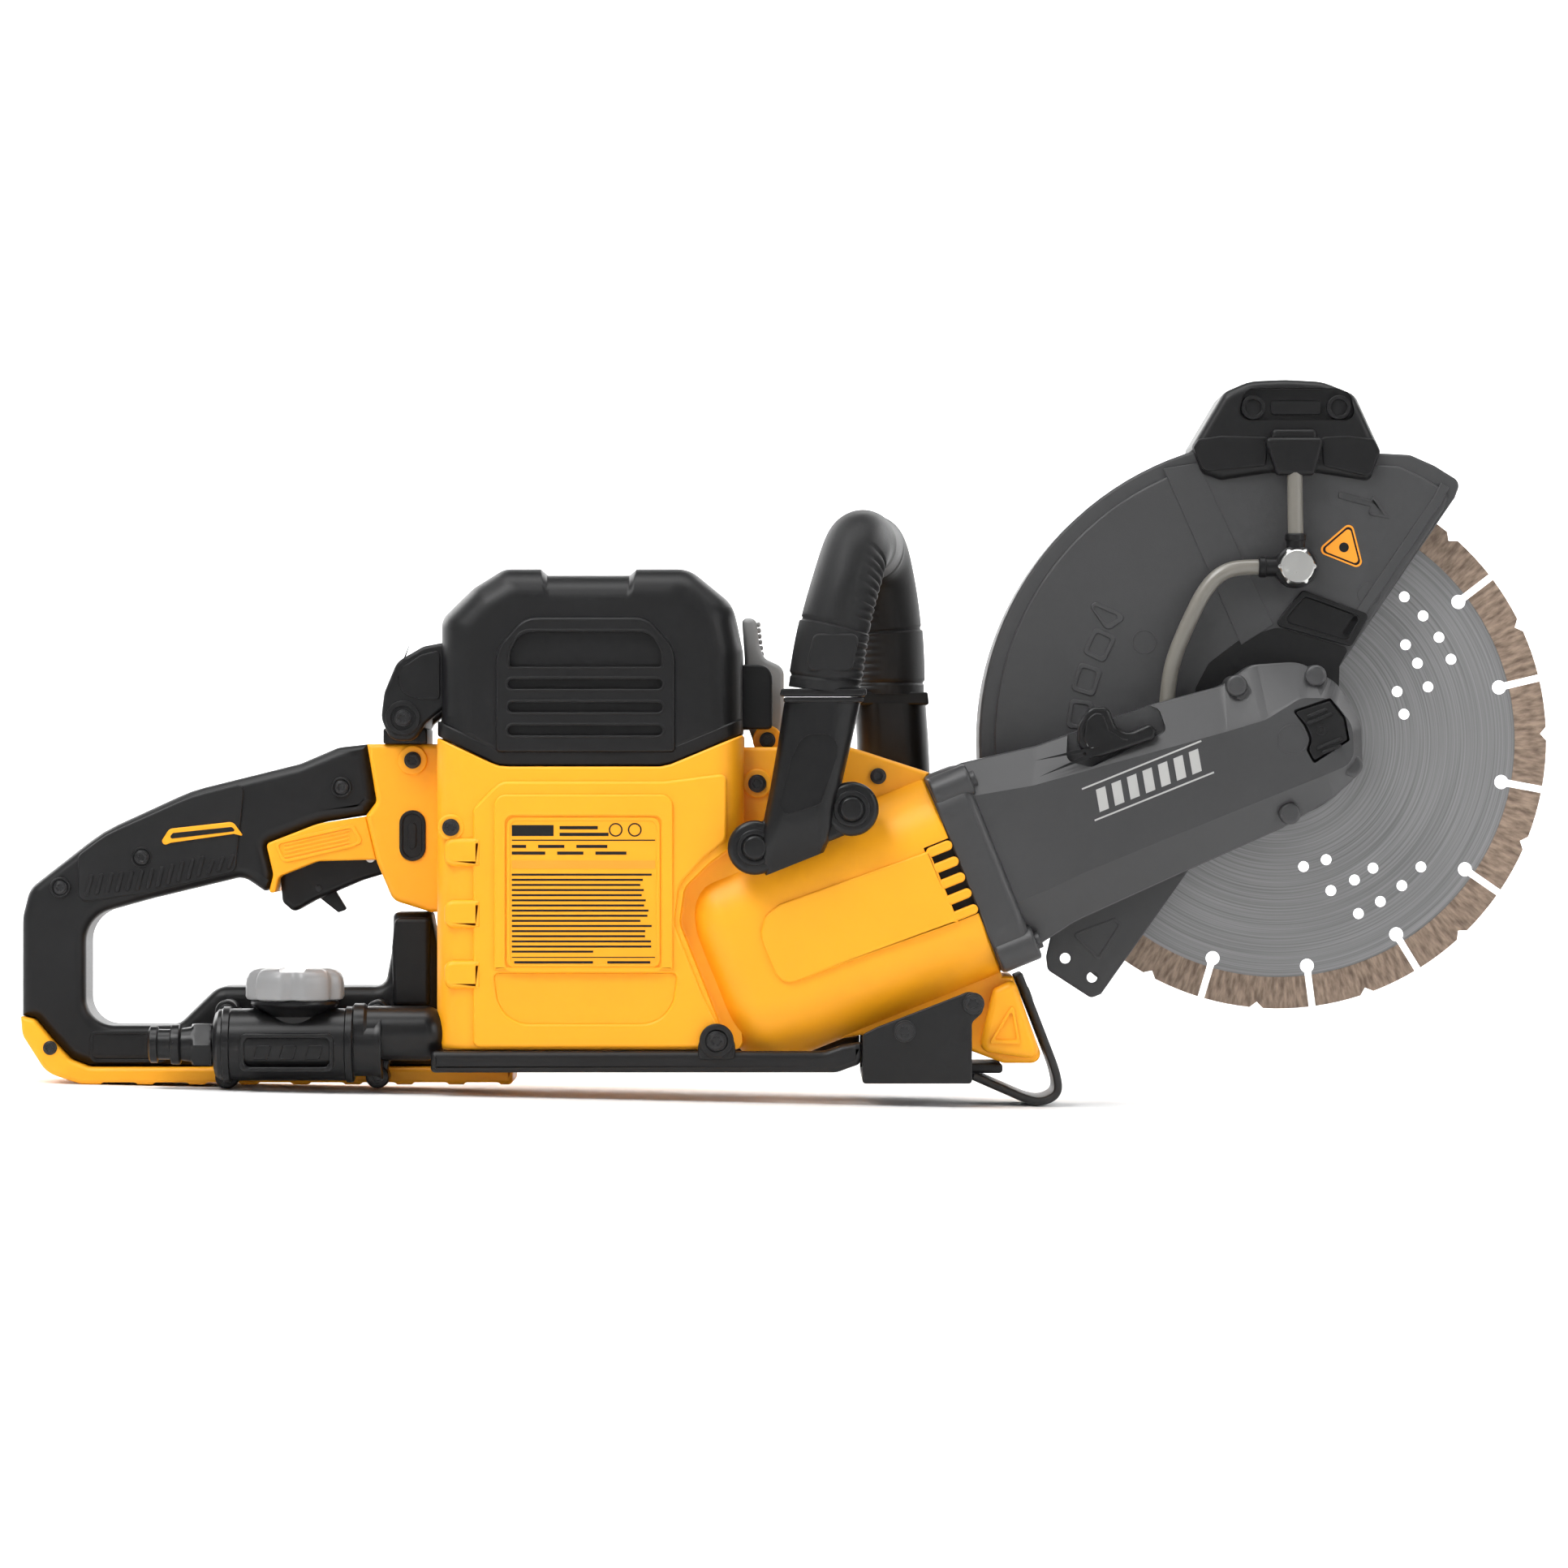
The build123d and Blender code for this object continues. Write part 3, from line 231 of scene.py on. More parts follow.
def lathe_mesh(profile, origin, direction, count=64):
    """A profile of (along, radius) turned about a line."""
    turn = Vector((0, 0, 1)).rotation_difference(Vector(direction)).to_matrix().to_4x4()
    rings = [[Vector((r * math.cos(a), r * math.sin(a), along))
              for a in (math.tau * i / count for i in range(count))] for along, r in profile]
    mesh = loft_mesh(rings)
    mesh.transform(Matrix.Translation(origin) @ turn)
    return mesh


def rounded_profile(length, radius, edge, steps=4):
    """A cylinder's (along, radius) profile with both ends rounded."""
    ends = [(edge * (1 - math.sin(a)), radius - edge * (1 - math.cos(a)))
            for a in (math.pi / 2 * (1 - i / steps) for i in range(steps + 1))]
    return ends + [(length - along, r) for along, r in reversed(ends)]


def cut(obj, cutter_meshes):
    """Takes closed meshes, in the tool's millimetres, out of an object."""
    obj.modifiers.clear()
    for mesh in cutter_meshes:
        cutter = made("cutter", mesh, obj.data.materials[0])
        boolean = obj.modifiers.new("cut", "BOOLEAN")
        boolean.operation, boolean.solver, boolean.object = "DIFFERENCE", "EXACT", cutter
        bpy.context.view_layer.update()
        result = bpy.data.meshes.new_from_object(obj.evaluated_get(bpy.context.evaluated_depsgraph_get()))
        obj.modifiers.remove(boolean)
        obj.data = result
        bpy.data.objects.remove(cutter)
    return obj


def on_axis(s, y, n):
    return Vector((SPINDLE_X - s * COS - n * SIN, y, SPINDLE_Z - s * SIN + n * COS))


def place(obj, body, slot, *nodes):
    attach(obj, body)
    if nodes:
        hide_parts(*nodes)
    return obj


# ---- materials ----
def noise_node(nodes, scale, detail):
    noise = nodes.new("ShaderNodeTexNoise")
    noise.inputs["Scale"].default_value = scale
    noise.inputs["Detail"].default_value = detail
    return noise


def colour_ramp(nodes, ends, colours):
    """A ramp between two (r, g, b) colours."""
    ramp = nodes.new("ShaderNodeValToRGB")
    for element, position, colour in zip(ramp.color_ramp.elements, ends, colours):
        element.position = position
        element.color = (*colour, 1)
    return ramp


def bump_node(nodes, strength, distance):
    height = nodes.new("ShaderNodeBump")
    height.inputs["Strength"].default_value = strength
    height.inputs["Distance"].default_value = distance
    return height


def material(name, colour, rough=0.45, grain=900.0, bump=0.12, vary=0.10, metallic=0.0, coat=0.0,
             specular=0.5, depth=0.00012, blotch=18.0):
    """Moulded or cast surface: fine grain in its height, slow drift in its colour and gloss."""
    made_material = bpy.data.materials.new(name)
    made_material.use_nodes = True
    nodes, links = made_material.node_tree.nodes, made_material.node_tree.links
    shader = nodes["Principled BSDF"]
    shader.inputs["Metallic"].default_value = metallic
    shader.inputs["Specular IOR Level"].default_value = specular
    shader.inputs["Coat Weight"].default_value = coat
    shader.inputs["Coat Roughness"].default_value = 0.25
    where = nodes.new("ShaderNodeTexCoord")
    slow = noise_node(nodes, blotch, 4)
    fine = noise_node(nodes, grain, 3)
    links.new(where.outputs["Object"], slow.inputs["Vector"])
    links.new(where.outputs["Object"], fine.inputs["Vector"])
    low, high = [c * (1 - vary) for c in colour], [min(c * (1 + vary), 1) for c in colour]
    ramp = colour_ramp(nodes, (0.3, 0.7), (low, high))
    links.new(slow.outputs["Fac"], ramp.inputs["Fac"])
    links.new(ramp.outputs["Color"], shader.inputs["Base Color"])
    gloss = nodes.new("ShaderNodeMapRange")
    gloss.inputs["To Min"].default_value, gloss.inputs["To Max"].default_value = rough - 0.06, rough + 0.08
    links.new(fine.outputs["Fac"], gloss.inputs["Value"])
    links.new(gloss.outputs["Result"], shader.inputs["Roughness"])
    height = bump_node(nodes, bump, depth)
    links.new(fine.outputs["Fac"], height.inputs["Height"])
    links.new(height.outputs["Normal"], shader.inputs["Normal"])
    return made_material


YELLOW = material("yellow_shell", (0.98, 0.405, 0.009), rough=0.45, grain=1100, bump=0.10, vary=0.03,
                  specular=0.4)
BLACK = material("black_plastic", (0.0075, 0.0075, 0.008), rough=0.40, grain=1300, bump=0.14, vary=0.2,
                 specular=0.26)
GLOSS = material("gloss_black", (0.006, 0.006, 0.0065), rough=0.30, grain=420, bump=0.012, vary=0.2,
                 specular=0.3)
RUBBER = material("grip_rubber", (0.0085, 0.0085, 0.009), rough=0.54, grain=1600, bump=0.25, vary=0.2,
                  specular=0.28)
CAST = material("grey_cast", (0.036, 0.036, 0.0375), rough=0.42, grain=1500, bump=0.16, vary=0.08)
GUARD = material("guard_paint", (0.038, 0.038, 0.0395), rough=0.50, grain=1500, bump=0.22, vary=0.07)
SHEET = material("bracket_steel", (0.008, 0.008, 0.0085), rough=0.38, grain=900, bump=0.08, vary=0.2,
                 specular=0.32)
SCREW = material("screw_black", (0.016, 0.016, 0.017), rough=0.30, grain=500, bump=0.05, vary=0.2,
                 metallic=0.3)
BRIGHT = material("bright_steel", (0.62, 0.62, 0.60), rough=0.24, grain=300, bump=0.006, vary=0.06,
                  metallic=1.0)
# Near-black for the real seam line between the housing halves, and painted shade on the plates behind the
# vent slots and in the lock button's pocket.
SEAM_AND_SHADE_DARK = material("seam_and_painted_shade_dark", (0.006, 0.006, 0.006), rough=0.7, grain=500, bump=0.1, vary=0.2)
LATCH_GREY = material("latch_grey", (0.25, 0.25, 0.247), rough=0.42, grain=1000, bump=0.12, vary=0.08)
HOSE = material("hose_clear", (0.17, 0.16, 0.138), rough=0.30, grain=400, bump=0.04, vary=0.06, coat=0.3)
KNOB = material("knob_grey", (0.25, 0.25, 0.252), rough=0.36, grain=400, bump=0.02, vary=0.05, coat=0.2)
STRAP = material("strap_rubber", (0.014, 0.014, 0.014), rough=0.5, grain=1200, bump=0.2, vary=0.2)
CORE = material("core_steel", (0.25, 0.25, 0.25), rough=0.5, grain=800, bump=0.1, vary=0.1, metallic=0.9)
MARK = material("mark_white", (0.42, 0.42, 0.41), rough=0.5, grain=900, bump=0.08, vary=0.05)
MARK_ORANGE = material("mark_orange", (0.95, 0.33, 0.015), rough=0.5, grain=900, bump=0.08, vary=0.05)


def polar(nodes, links):
    """Nodes that give the distance from the spindle's axis in metres and the angle about it in radians."""
    where = nodes.new("ShaderNodeTexCoord")
    apart = nodes.new("ShaderNodeVectorMath")
    apart.operation = "SUBTRACT"
    apart.inputs[1].default_value = JOINTS["spindle_spin"]["pos_m"]
    links.new(where.outputs["Object"], apart.inputs[0])
    flat = nodes.new("ShaderNodeVectorMath")
    flat.operation = "MULTIPLY"
    flat.inputs[1].default_value = (1, 0, 1)
    links.new(apart.outputs["Vector"], flat.inputs[0])
    length = nodes.new("ShaderNodeVectorMath")
    length.operation = "LENGTH"
    links.new(flat.outputs["Vector"], length.inputs[0])
    split = nodes.new("ShaderNodeSeparateXYZ")
    links.new(apart.outputs["Vector"], split.inputs["Vector"])
    angle = nodes.new("ShaderNodeMath")
    angle.operation = "ARCTAN2"
    links.new(split.outputs["Z"], angle.inputs[0])
    links.new(split.outputs["X"], angle.inputs[1])
    return length.outputs["Value"], angle.outputs["Value"]


def ground_steel(name, low, high, metallic=1.0, rough=0.34, across=1500.0, round_=0.7):
    """Steel ground in circles about the spindle."""
    made_material = material(name, low, rough=rough, grain=1400, bump=0.1, vary=0.05, metallic=metallic)
    nodes, links = made_material.node_tree.nodes, made_material.node_tree.links
    shader = nodes["Principled BSDF"]
    radius, angle = polar(nodes, links)
    rings = noise_node(nodes, 1.0, 6)
    rings.noise_dimensions = "2D"
    grooves = nodes.new("ShaderNodeCombineXYZ")
    for value, scale, socket in ((radius, across, "X"), (angle, round_, "Y")):
        times = nodes.new("ShaderNodeMath")
        times.operation = "MULTIPLY"
        times.inputs[1].default_value = scale
        links.new(value, times.inputs[0])
        links.new(times.outputs["Value"], grooves.inputs[socket])
    links.new(grooves.outputs["Vector"], rings.inputs["Vector"])
    ramp = colour_ramp(nodes, (0.28, 0.72), (low, high))
    links.new(rings.outputs["Fac"], ramp.inputs["Fac"])
    links.new(ramp.outputs["Color"], shader.inputs["Base Color"])
    height = bump_node(nodes, 0.25, 0.0001)
    links.new(rings.outputs["Fac"], height.inputs["Height"])
    links.new(height.outputs["Normal"], shader.inputs["Normal"])
    return made_material


WHEEL = ground_steel("wheel_steel", (0.17, 0.17, 0.172), (0.28, 0.28, 0.283), metallic=0.5, rough=0.42)
RIM = ground_steel("wheel_rim", (0.13, 0.088, 0.062), (0.34, 0.25, 0.185), metallic=0.15, rough=0.55,
                   across=150.0, round_=55.0)


# ---- screws ----
def screw_mesh(x, y, z, radius, proud=1.6, toward=-1):
    """A flanged cap head with a six-lobed recess, facing -Y or +Y."""
    head = [
        ([circle(x, z, radius)], y - 1, y + 0.6, 0.3),
        ([circle(x, z, radius * 0.82), lobed(x, z, radius * 0.42, radius * 0.07)], y - proud, y, 0.35),
        ([circle(x, z, radius * 0.6)], y - proud * 0.45, y + 0.4, 0.1),
    ]
    mesh = merged([plate_mesh(*part) for part in head])
    if toward > 0:
        mesh.transform(Matrix.Translation((0, 2 * y, 0)) @ Matrix.Scale(-1, 4, (0, 1, 0)))
        mesh.flip_normals()
    return mesh


def screws(name, slot, body, places, *nodes, proud=1.6):
    mesh = merged([screw_mesh(*place_, proud=proud) for place_ in places])
    return place(shade(made(name, mesh, SCREW)), body, slot, *nodes)


# ---- yellow housing ----
SPINE = [(-40, 24.6), (2, 24.6, 20), (33, 30.5, 5), (78, 24, 5), (92.7, 18.5, 3), (110, 18.5, 4),
         (96.7, 55.2), (92.3, 55.2), (59.6, 138.0), (61.5, 141.2), (36, 149.5, 3), (28, 152, 3),
         (-20, 152), (-40, 143)]
NECK = [(-140, 82), (-150, 82, 3), (-166, 87, 6), (-172.8, 103, 3), (-177.6, 122.8, 2), (-173, 129, 3),
        (-177, 153.4), (-146.5, 153.4), (-140, 153)]


def parting_z(x):
    """Height of the line between the battery box and its cover."""
    return float(np.interp(x, (-146.2, -121, -118, -52, -48.8, -17.4),
                           (156.3, 144.4, 143.8, 143.8, 144.2, 157.3)))


def plan_rings(x0, x1, y, radius, levels):
    """Rings of the box plan at (height function, inset) levels, dense enough to follow the parting line."""
    cx, half = (x0 + x1) / 2, (x1 - x0) / 2
    rings = []
    for height, inset in levels:
        width, depth = 2 * (half - inset), 2 * (y - inset)
        corner = max(radius - inset * 0.25, 2)
        ring = []
        outline_points = rounded_rect(width, depth, corner, steps=8)
        for a, b in zip(outline_points, outline_points[1:] + outline_points[:1]):
            steps = 24 if abs(a.x - b.x) > 20 else 6 if abs(a.y - b.y) > 20 else 1
            ring += [a.lerp(b, k / steps) for k in range(steps)]
        rings.append([Vector((cx + p.x, p.y, height(cx + p.x))) for p in ring])
    return rings


def flat(z):
    return lambda x: z


def battery_box():
    edge = 3.0
    levels = [(flat(24.6), edge), (flat(25.4), 1.0), (flat(27.6), 0.0), (flat(60), 0), (flat(100), 0),
              (flat(130), 0),
              (lambda x: parting_z(x) - 1.0, 0), (lambda x: parting_z(x) - 0.25, 0.5),
              (lambda x: parting_z(x) - 0.05, 2.5), (lambda x: parting_z(x) - 0.6, 3.1),
              (lambda x: parting_z(x) - 26, 3.3)]
    rings = plan_rings(-146, -17, BOX_Y, 12, levels)
    mesh = loft_mesh(rings, cap=False)
    work = bmesh.new()
    work.from_mesh(mesh)
    bmesh.ops.holes_fill(work, edges=[e for e in work.edges if e.is_boundary], sides=0)
    bmesh.ops.triangulate(work, faces=[f for f in work.faces if len(f.verts) > 4])
    bmesh.ops.recalc_face_normals(work, faces=work.faces)
    work.to_mesh(mesh)
    work.free()
    return mesh


def barrel_mesh():
    """The motor barrel: a rounded square section along the arm's axis with a rounded rear end."""
    width, height, corner, end = 88.0, 90.3, 28.0, 263.0
    stations = [(147.8, 1.2), (148.6, 0.3), (150.5, 0.0), (200, 0), (end - 16, 0)]
    stations += [(end - 16 + 16 * math.sin(a), 16 * (1 - math.cos(a))) for a in
                 (math.pi / 2 * i / 8 for i in range(1, 9))]
    rings = []
    for s, inset in stations:
        section = rounded_rect(width - 2 * inset, height - 2 * inset, max(corner - inset * 0.6, 4), steps=8)
        rings.append([on_axis(s, BARREL_Y - p.x, BARREL_N + p.y) for p in section])
    return loft_mesh(rings)


VENT_S, VENT_PITCH = 153.0, 7.2


def vent_path(i, wide=11.5, tall=4.2):
    centre = on_axis(VENT_S, 0, BARREL_N + VENT_PITCH * (i - 2))
    return slot_path(centre.x, centre.z, wide, tall, ARM_DEGREES)


def housing():
    box = made("housing_box", battery_box(), YELLOW)
    recess = corner_path([(-22, 22, 3), (-32, 48, 10), (-44, 78, 8), (-42, 93, 8), (-32, 103, 8),
                          (-12, 118, 3), (5, 118), (5, 22)])
    cut(box, [plate_mesh([recess], -62, -48, 1.5, 3)])
    shade(box)
    barrel = made("housing_barrel", barrel_mesh(), YELLOW)
    pocket_low, pocket_high = on_axis(153, 0, -19), on_axis(153, 0, 15)
    wide = Vector((COS, SIN)) * 7.5
    low, high = Vector((pocket_low.x, pocket_low.z)), Vector((pocket_high.x, pocket_high.z))
    pocket = [low - wide * 0.8, low + wide * 0.8, high + wide * 0.8, high - wide * 0.8]
    cut(barrel, [plate_mesh([pocket], -60, -50, 0.1, 1)])
    shade(barrel)
    chin = [(88, 50, 3), (82, 24, 4), (109, 20, 4), (97, 54.6, 3)]
    spine = plates("housing_spine", YELLOW, [([corner_path(SPINE)], -35, 28, 2.0, 3),
                                             ([corner_path(chin)], -44, 18, 3.0, 3)])
    neck = plates("housing_neck", YELLOW, [([corner_path(NECK)], -NECK_Y, NECK_Y, 2.5, 3)])
    return box, barrel, spine, neck


BOX_PANEL = [(-130.4, 26, 3), (-23, 26, 3), (-34, 48, 10), (-46, 78, 8), (-44, 94, 8), (-34, 105, 8),
             (-24, 113, 4), (-24, 141, 3), (-50, 137.6, 8), (-119, 137.6, 8), (-130.4, 126, 4)]


def housing_details():
    """Raised panels, ribs, bosses and frames on the yellow shell."""
    x0, x1, z0, z1 = -116.3, -51.8, 59.1, 122.6
    frame_out = box_path(x0, x1, z0, z1, 4)
    frame_in = box_path(x0 + 1.6, x1 - 1.6, z0 + 1.6, z1 - 1.6, 3)
    tray = corner_path([(-121.5, 57.0, 2), (-119.0, 36, 14), (-47.5, 36, 14), (-45.0, 57.0, 2)])
    pillars = [(-121.5, 58.6, 0.5), (-121.5, 132.0, 5), (-46.5, 132.0, 5), (-46.5, 58.6, 0.5)]
    window = box_path(x0 - 0.4, x1 + 0.4, z0 - 0.4, z1 + 0.4, 3)
    parts = [([corner_path(BOX_PANEL), tray], -57.6, -54.6, 1.4, 4), ([tray], -56.4, -54.6, 0.1),
             ([corner_path(pillars), window], -59.0, -57, 0.9, 4), ([frame_out, frame_in], -58.0, -57, 0.3)]
    ribs = [corner_path([(-142.4, z - 0.5, 4), (-127, z - 0.5, 1), (-127, z + 11.5, 1),
                         (-142.4, z + 11.5, 4)])
            for z in (102.3, 76.4, 51.0)]
    parts += [([rib], -58.4, -52, 2.2, 4) for rib in ribs]
    tongue = corner_path([(-8.6, 69, 4), (-9.8, 74, 4), (-8, 81, 4), (-2, 86, 6), (60.8, 108.4, 0.5),
                          (73.2, 78.5, 0.5), (1.6, 52.3, 6), (-3.2, 56, 4)])
    parts.append(([tongue] + [vent_path(i) for i in range(5)], -57.7, -54.5, 1.0, 4))
    parts.append(([circle(-157.5, 146.5, 6.3)], -NECK_Y - 1.2, -NECK_Y + 2, 0.8))
    parts.append(([circle(-139.6, 118.2, 5.6)], -56.6, -48, 0.8))
    parts.append(([circle(-11.3, 136.6, 6.2)], -36.6, -33, 0.8))
    for side in (-1, 1):
        parts.append(([circle(*LATCH, 6.3)], min(14.4 * side, 20 * side), max(14.4 * side, 20 * side), 0.6))
    far_panel = corner_path([(-130.4, 28, 3), (-26, 28, 3), (-26, 134, 3), (-50, 137.6, 8),
                             (-119, 137.6, 8), (-130.4, 126, 4)])
    pad = corner_path([(-121.5, 60.0, 3), (-46.5, 60.0, 3), (-46.5, 130.0, 5), (-121.5, 130.0, 5)])
    parts += [([far_panel, tray], 54.6, 57.6, 1.4, 4), ([tray], 54.6, 56.4, 0.1), ([pad], 57, 58.6, 0.8, 3)]
    parts += [([rib], 52, 58.4, 2.2, 4) for rib in ribs]
    parts.append(([circle(-139.6, 118.2, 5.6)], 48, 56.6, 0.8))
    parts.append(([circle(-157.5, 146.5, 6.3)], NECK_Y - 2, NECK_Y + 1.2, 0.8))
    return plates("housing_details", YELLOW, parts)


for piece in housing():
    place(piece, "body", "yellow_shell",
          *(("housing_right", "housing_left") if piece.name == "housing_box" else ()))
place(housing_details(), "body", "yellow_shell")


def shell_seam():
    """A thin dark line round the box where the two housing halves meet."""
    outer = corner_path([(-146.08, 24.5, 3), (-16.92, 24.5, 3), (-16.92, 156, 1), (-146.08, 155, 1)])
    inner = corner_path([(-145.0, 25.6, 2), (-18.0, 25.6, 2), (-18.0, 155, 1), (-145.0, 154, 1)])
    return plates("housing_seam", SEAM_AND_SHADE_DARK, [([outer, inner], 0.0, 0.7, 0.05, 1)])


place(shell_seam(), "body", "black_plastic")


def label_marks():
    """Plain dark bars in rows inside the label's frame, with nothing written."""
    face, rows = -57.6, []

    def bar(x0, x1, z0, z1, rise=0.12):
        rows.append(([box_path(x0, x1, z0, z1)], face - rise, face + 0.3, 0.03, 1))

    bar(-114.0, -96.5, 114.6, 119.2)
    bar(-94.0, -78.0, 117.4, 118.8)
    bar(-94.0, -73.5, 114.6, 116.0)
    for x in (-70.5, -62.5):
        rows.append(([circle(x, 117.2, 2.9, 24), circle(x, 117.2, 2.3, 24)], face - 0.12, face + 0.3, 0.03,
                     1))
    bar(-114.0, -54.0, 112.6, 113.1)
    for z, ends in ((109.6, (-108, -92, -74)), (106.8, (-100, -84, -66))):
        start = -114.0
        for end in ends:
            bar(start, end, z, z + 1.3)
            start = end + 5
    for i in range(16):
        z = 98.0 - 2.15 * i
        bar(-114.0, -55.4 - (3.7 * i * i) % 5.0 - (22 if i == 15 else 0), z, z + 0.85)
    bar(-114.0, -54.0, 63.6, 64.0)
    bar(-113.0, -80.0, 61.2, 62.2)
    bar(-74.0, -56.0, 61.2, 62.2)
    return plates("label_rows", BLACK, rows)


place(label_marks(), "body", "black_plastic")
label_band = [([box_path(-114, -54, 101, 104.4, 0.4)], -57.75, -57.3, 0.05, 1)]
place(plates("label_band", MARK_ORANGE, label_band), "body", "black_plastic")
# Painted shade: a near-black plate behind the vent slots stands in for the shade inside them.
vent_shade_plate = [Vector((p.x, p.z)) for p in (on_axis(159.4, 0, -19), on_axis(147.6, 0, -19),
                                           on_axis(147.6, 0, 15),
                                          on_axis(159.4, 0, 15))]
place(plates("vent_shade_plate", SEAM_AND_SHADE_DARK, [([vent_shade_plate], -52, -50, 0.1)]), "body", "black_plastic")

# ---- rear handle ----
HANDLE_OUT = [(-177.2, 153.4), (-189.6, 152, 10), (-206, 145, 20), (-252, 133.6, 60), (-290, 116.2, 60),
              (-321, 92, 10), (-324, 80, 20), (-324, 38), (-318, 36.5, 3), (-311, 28, 6), (-303, 19.5, 6),
              (-295, 16.4, 4), (-146.3, 16.4), (-146.3, 24.6), (-146.3, 60), (-150.2, 81.8, 2),
              (-166.2, 81.8, 2), (-166.6, 67, 8), (-169.6, 50.2, 6), (-241, 50.2, 10), (-258, 33.7, 10),
              (-296.8, 33.7, 12), (-296.8, 80, 14), (-270, 87.4, 40), (-230, 97, 8), (-219.2, 89.6, 2),
              (-217.2, 98, 6), (-220.4, 111, 2), (-198, 119.9, 20), (-177.9, 123.1, 1), (-173.3, 129, 3)]
INSERT = [(-220.1, 111, 2), (-217, 98, 6), (-218.9, 90.2, 1), (-216.2, 90.2, 1), (-214.6, 97, 3),
          (-198, 103.6, 10), (-173.2, 104.2), (-177.7, 122.7), (-198, 119.6, 20)]
GRIP = [(-229, 137, 3), (-252, 131, 60), (-288, 115, 40), (-300, 106, 4), (-300, 86, 4), (-270, 90, 40),
        (-233, 99, 4)]
STRIP = [(-266.4, 109, 1.5), (-261, 117.4, 3), (-234, 120.4, 3), (-229.6, 114.2, 0.4), (-233.5, 115.2, 1),
         (-260.4, 111.4, 1)]
HEEL = [(-323.8, 37.7), (-323.2, 30, 8), (-313, 14, 12), (-298, 8.9, 10), (-115, 8.9, 2), (-115, 16.2, 1),
        (-295, 16.2, 4), (-303.2, 19.4, 6), (-311.3, 28, 6), (-318.2, 36.3, 3)]


def rear_handle():
    body = plates("handle_body", BLACK, [([corner_path(HANDLE_OUT, 7)], -HANDLE_Y, HANDLE_Y, 5.0, 5)])
    room = [plate_mesh([box_path(-216.8, -165, 84, 113)], -8.4, 8.4, 0.05, 1)]
    cut(body, room)
    place(shade(body), "body", "black_plastic", "handle_right", "handle_left")
    bottom = box_path(-295, -262, 18, 31.5, 3)
    bottom_in = box_path(-293.6, -263.4, 19.4, 30.1, 2)
    trims = [([bottom, bottom_in], -HANDLE_Y - 0.25, -HANDLE_Y + 1, 0.2)]
    for x, z in ((-188.0, 135.0), (-272.8, 105.3), (-307.4, 92.4)):
        trims.append(([circle(x, z, 4.4), circle(x, z, 3.3)], -HANDLE_Y - 1.6, -HANDLE_Y + 1, 0.4))
    place(plates("handle_trims", BLACK, trims), "body", "black_plastic")


def ribbed_grip():
    """Rubber pads on both sides of the handle, ribbed from the finger side up."""
    loop = corner_path(GRIP, 7)
    parts = []
    for near, far in ((-HANDLE_Y - 1.2, -HANDLE_Y + 1.5), (HANDLE_Y - 1.5, HANDLE_Y + 1.2)):
        parts.append(([loop], near, far, 0.9))
    for i in range(15):
        x = -297.5 + 4.3 * i
        low = float(np.interp(x, (-300, -270, -233), (88.5, 91.5, 101)))
        high = low + (9.5 if i < 12 else 7)
        rib = corner_path([(x, low, 0.9), (x + 2.3, low + 0.4, 0.9), (x + 4.6, high, 0.9),
                           (x + 2.3, high - 0.4, 0.9)])
        parts.append(([rib], -HANDLE_Y - 1.9, -HANDLE_Y - 0.6, 0.6, 2))
        parts.append(([rib], HANDLE_Y + 0.6, HANDLE_Y + 1.9, 0.6, 2))
    return plates("handle_grip_pads", RUBBER, parts)


def yellow_insert():
    face = -HANDLE_Y - 0.6
    parts = [([corner_path(INSERT)], face, -face, 1.0)]
    frame_out = corner_path([(-216.6, 112, 2), (-183, 119.4, 2), (-178.6, 111.8, 2), (-183, 109.6, 3),
                             (-213, 102.6, 3)])
    frame_in = corner_path([(-215.0, 110.8, 1.4), (-184, 117.6, 1.4), (-180.6, 111.9, 1.2),
                            (-183.6, 110.9, 2), (-212.2, 104.2, 2)])
    parts.append(([frame_out, frame_in], face - 0.7, face + 0.4, 0.3))
    for row in range(5):
        z = 104.9 + 1.75 * row
        rib = corner_path([(-212.5 + row * 0.1, z, 0.3), (-184.5, z + 6.2, 0.3), (-184.5, z + 7.1, 0.3),
                           (-212.5 + row * 0.1, z + 0.9, 0.3)])
        parts.append(([rib], face - 0.45, face + 0.3, 0.25, 1))
    body = plates("handle_yellow", YELLOW, parts)
    cut(body, [plate_mesh([corner_path([(-214.5, 80), (-165, 80), (-165, 101),
                                        (-214.5, 96)])], -8.4, 8.4, 0.05, 1)])
    return shade(body)


def skid():
    body = plates("heel_skid", YELLOW, [([corner_path(HEEL)], -24, 24, 2.0, 3)])
    scallops = []
    for i in range(8):
        x = -282 + 22 * i
        scallops.append(plate_mesh([corner_path([(x - 9, 7.8), (x + 9, 7.8), (x + 7, 9.9, 2),
                                                 (x - 7, 9.9, 2)])],
                                   -26, 26, 0.1, 1))
    cut(body, [merged(scallops)])
    return shade(body)


def strip():
    parts = [([corner_path(STRIP)], -HANDLE_Y - 2.0, -HANDLE_Y + 0.6, 0.4)]
    place(plates("badge_strip", YELLOW, parts), "body", "yellow_shell", "accent_strip")
    dark = corner_path([(-261.5, 113.0, 0.8), (-259.5, 115.6, 1), (-234.5, 118.2, 1), (-232.6, 116.4, 0.6)])
    place(plates("badge_inlay", BLACK, [([dark], -HANDLE_Y - 2.25, -HANDLE_Y - 1.2, 0.15)]), "body",
          "black_plastic")


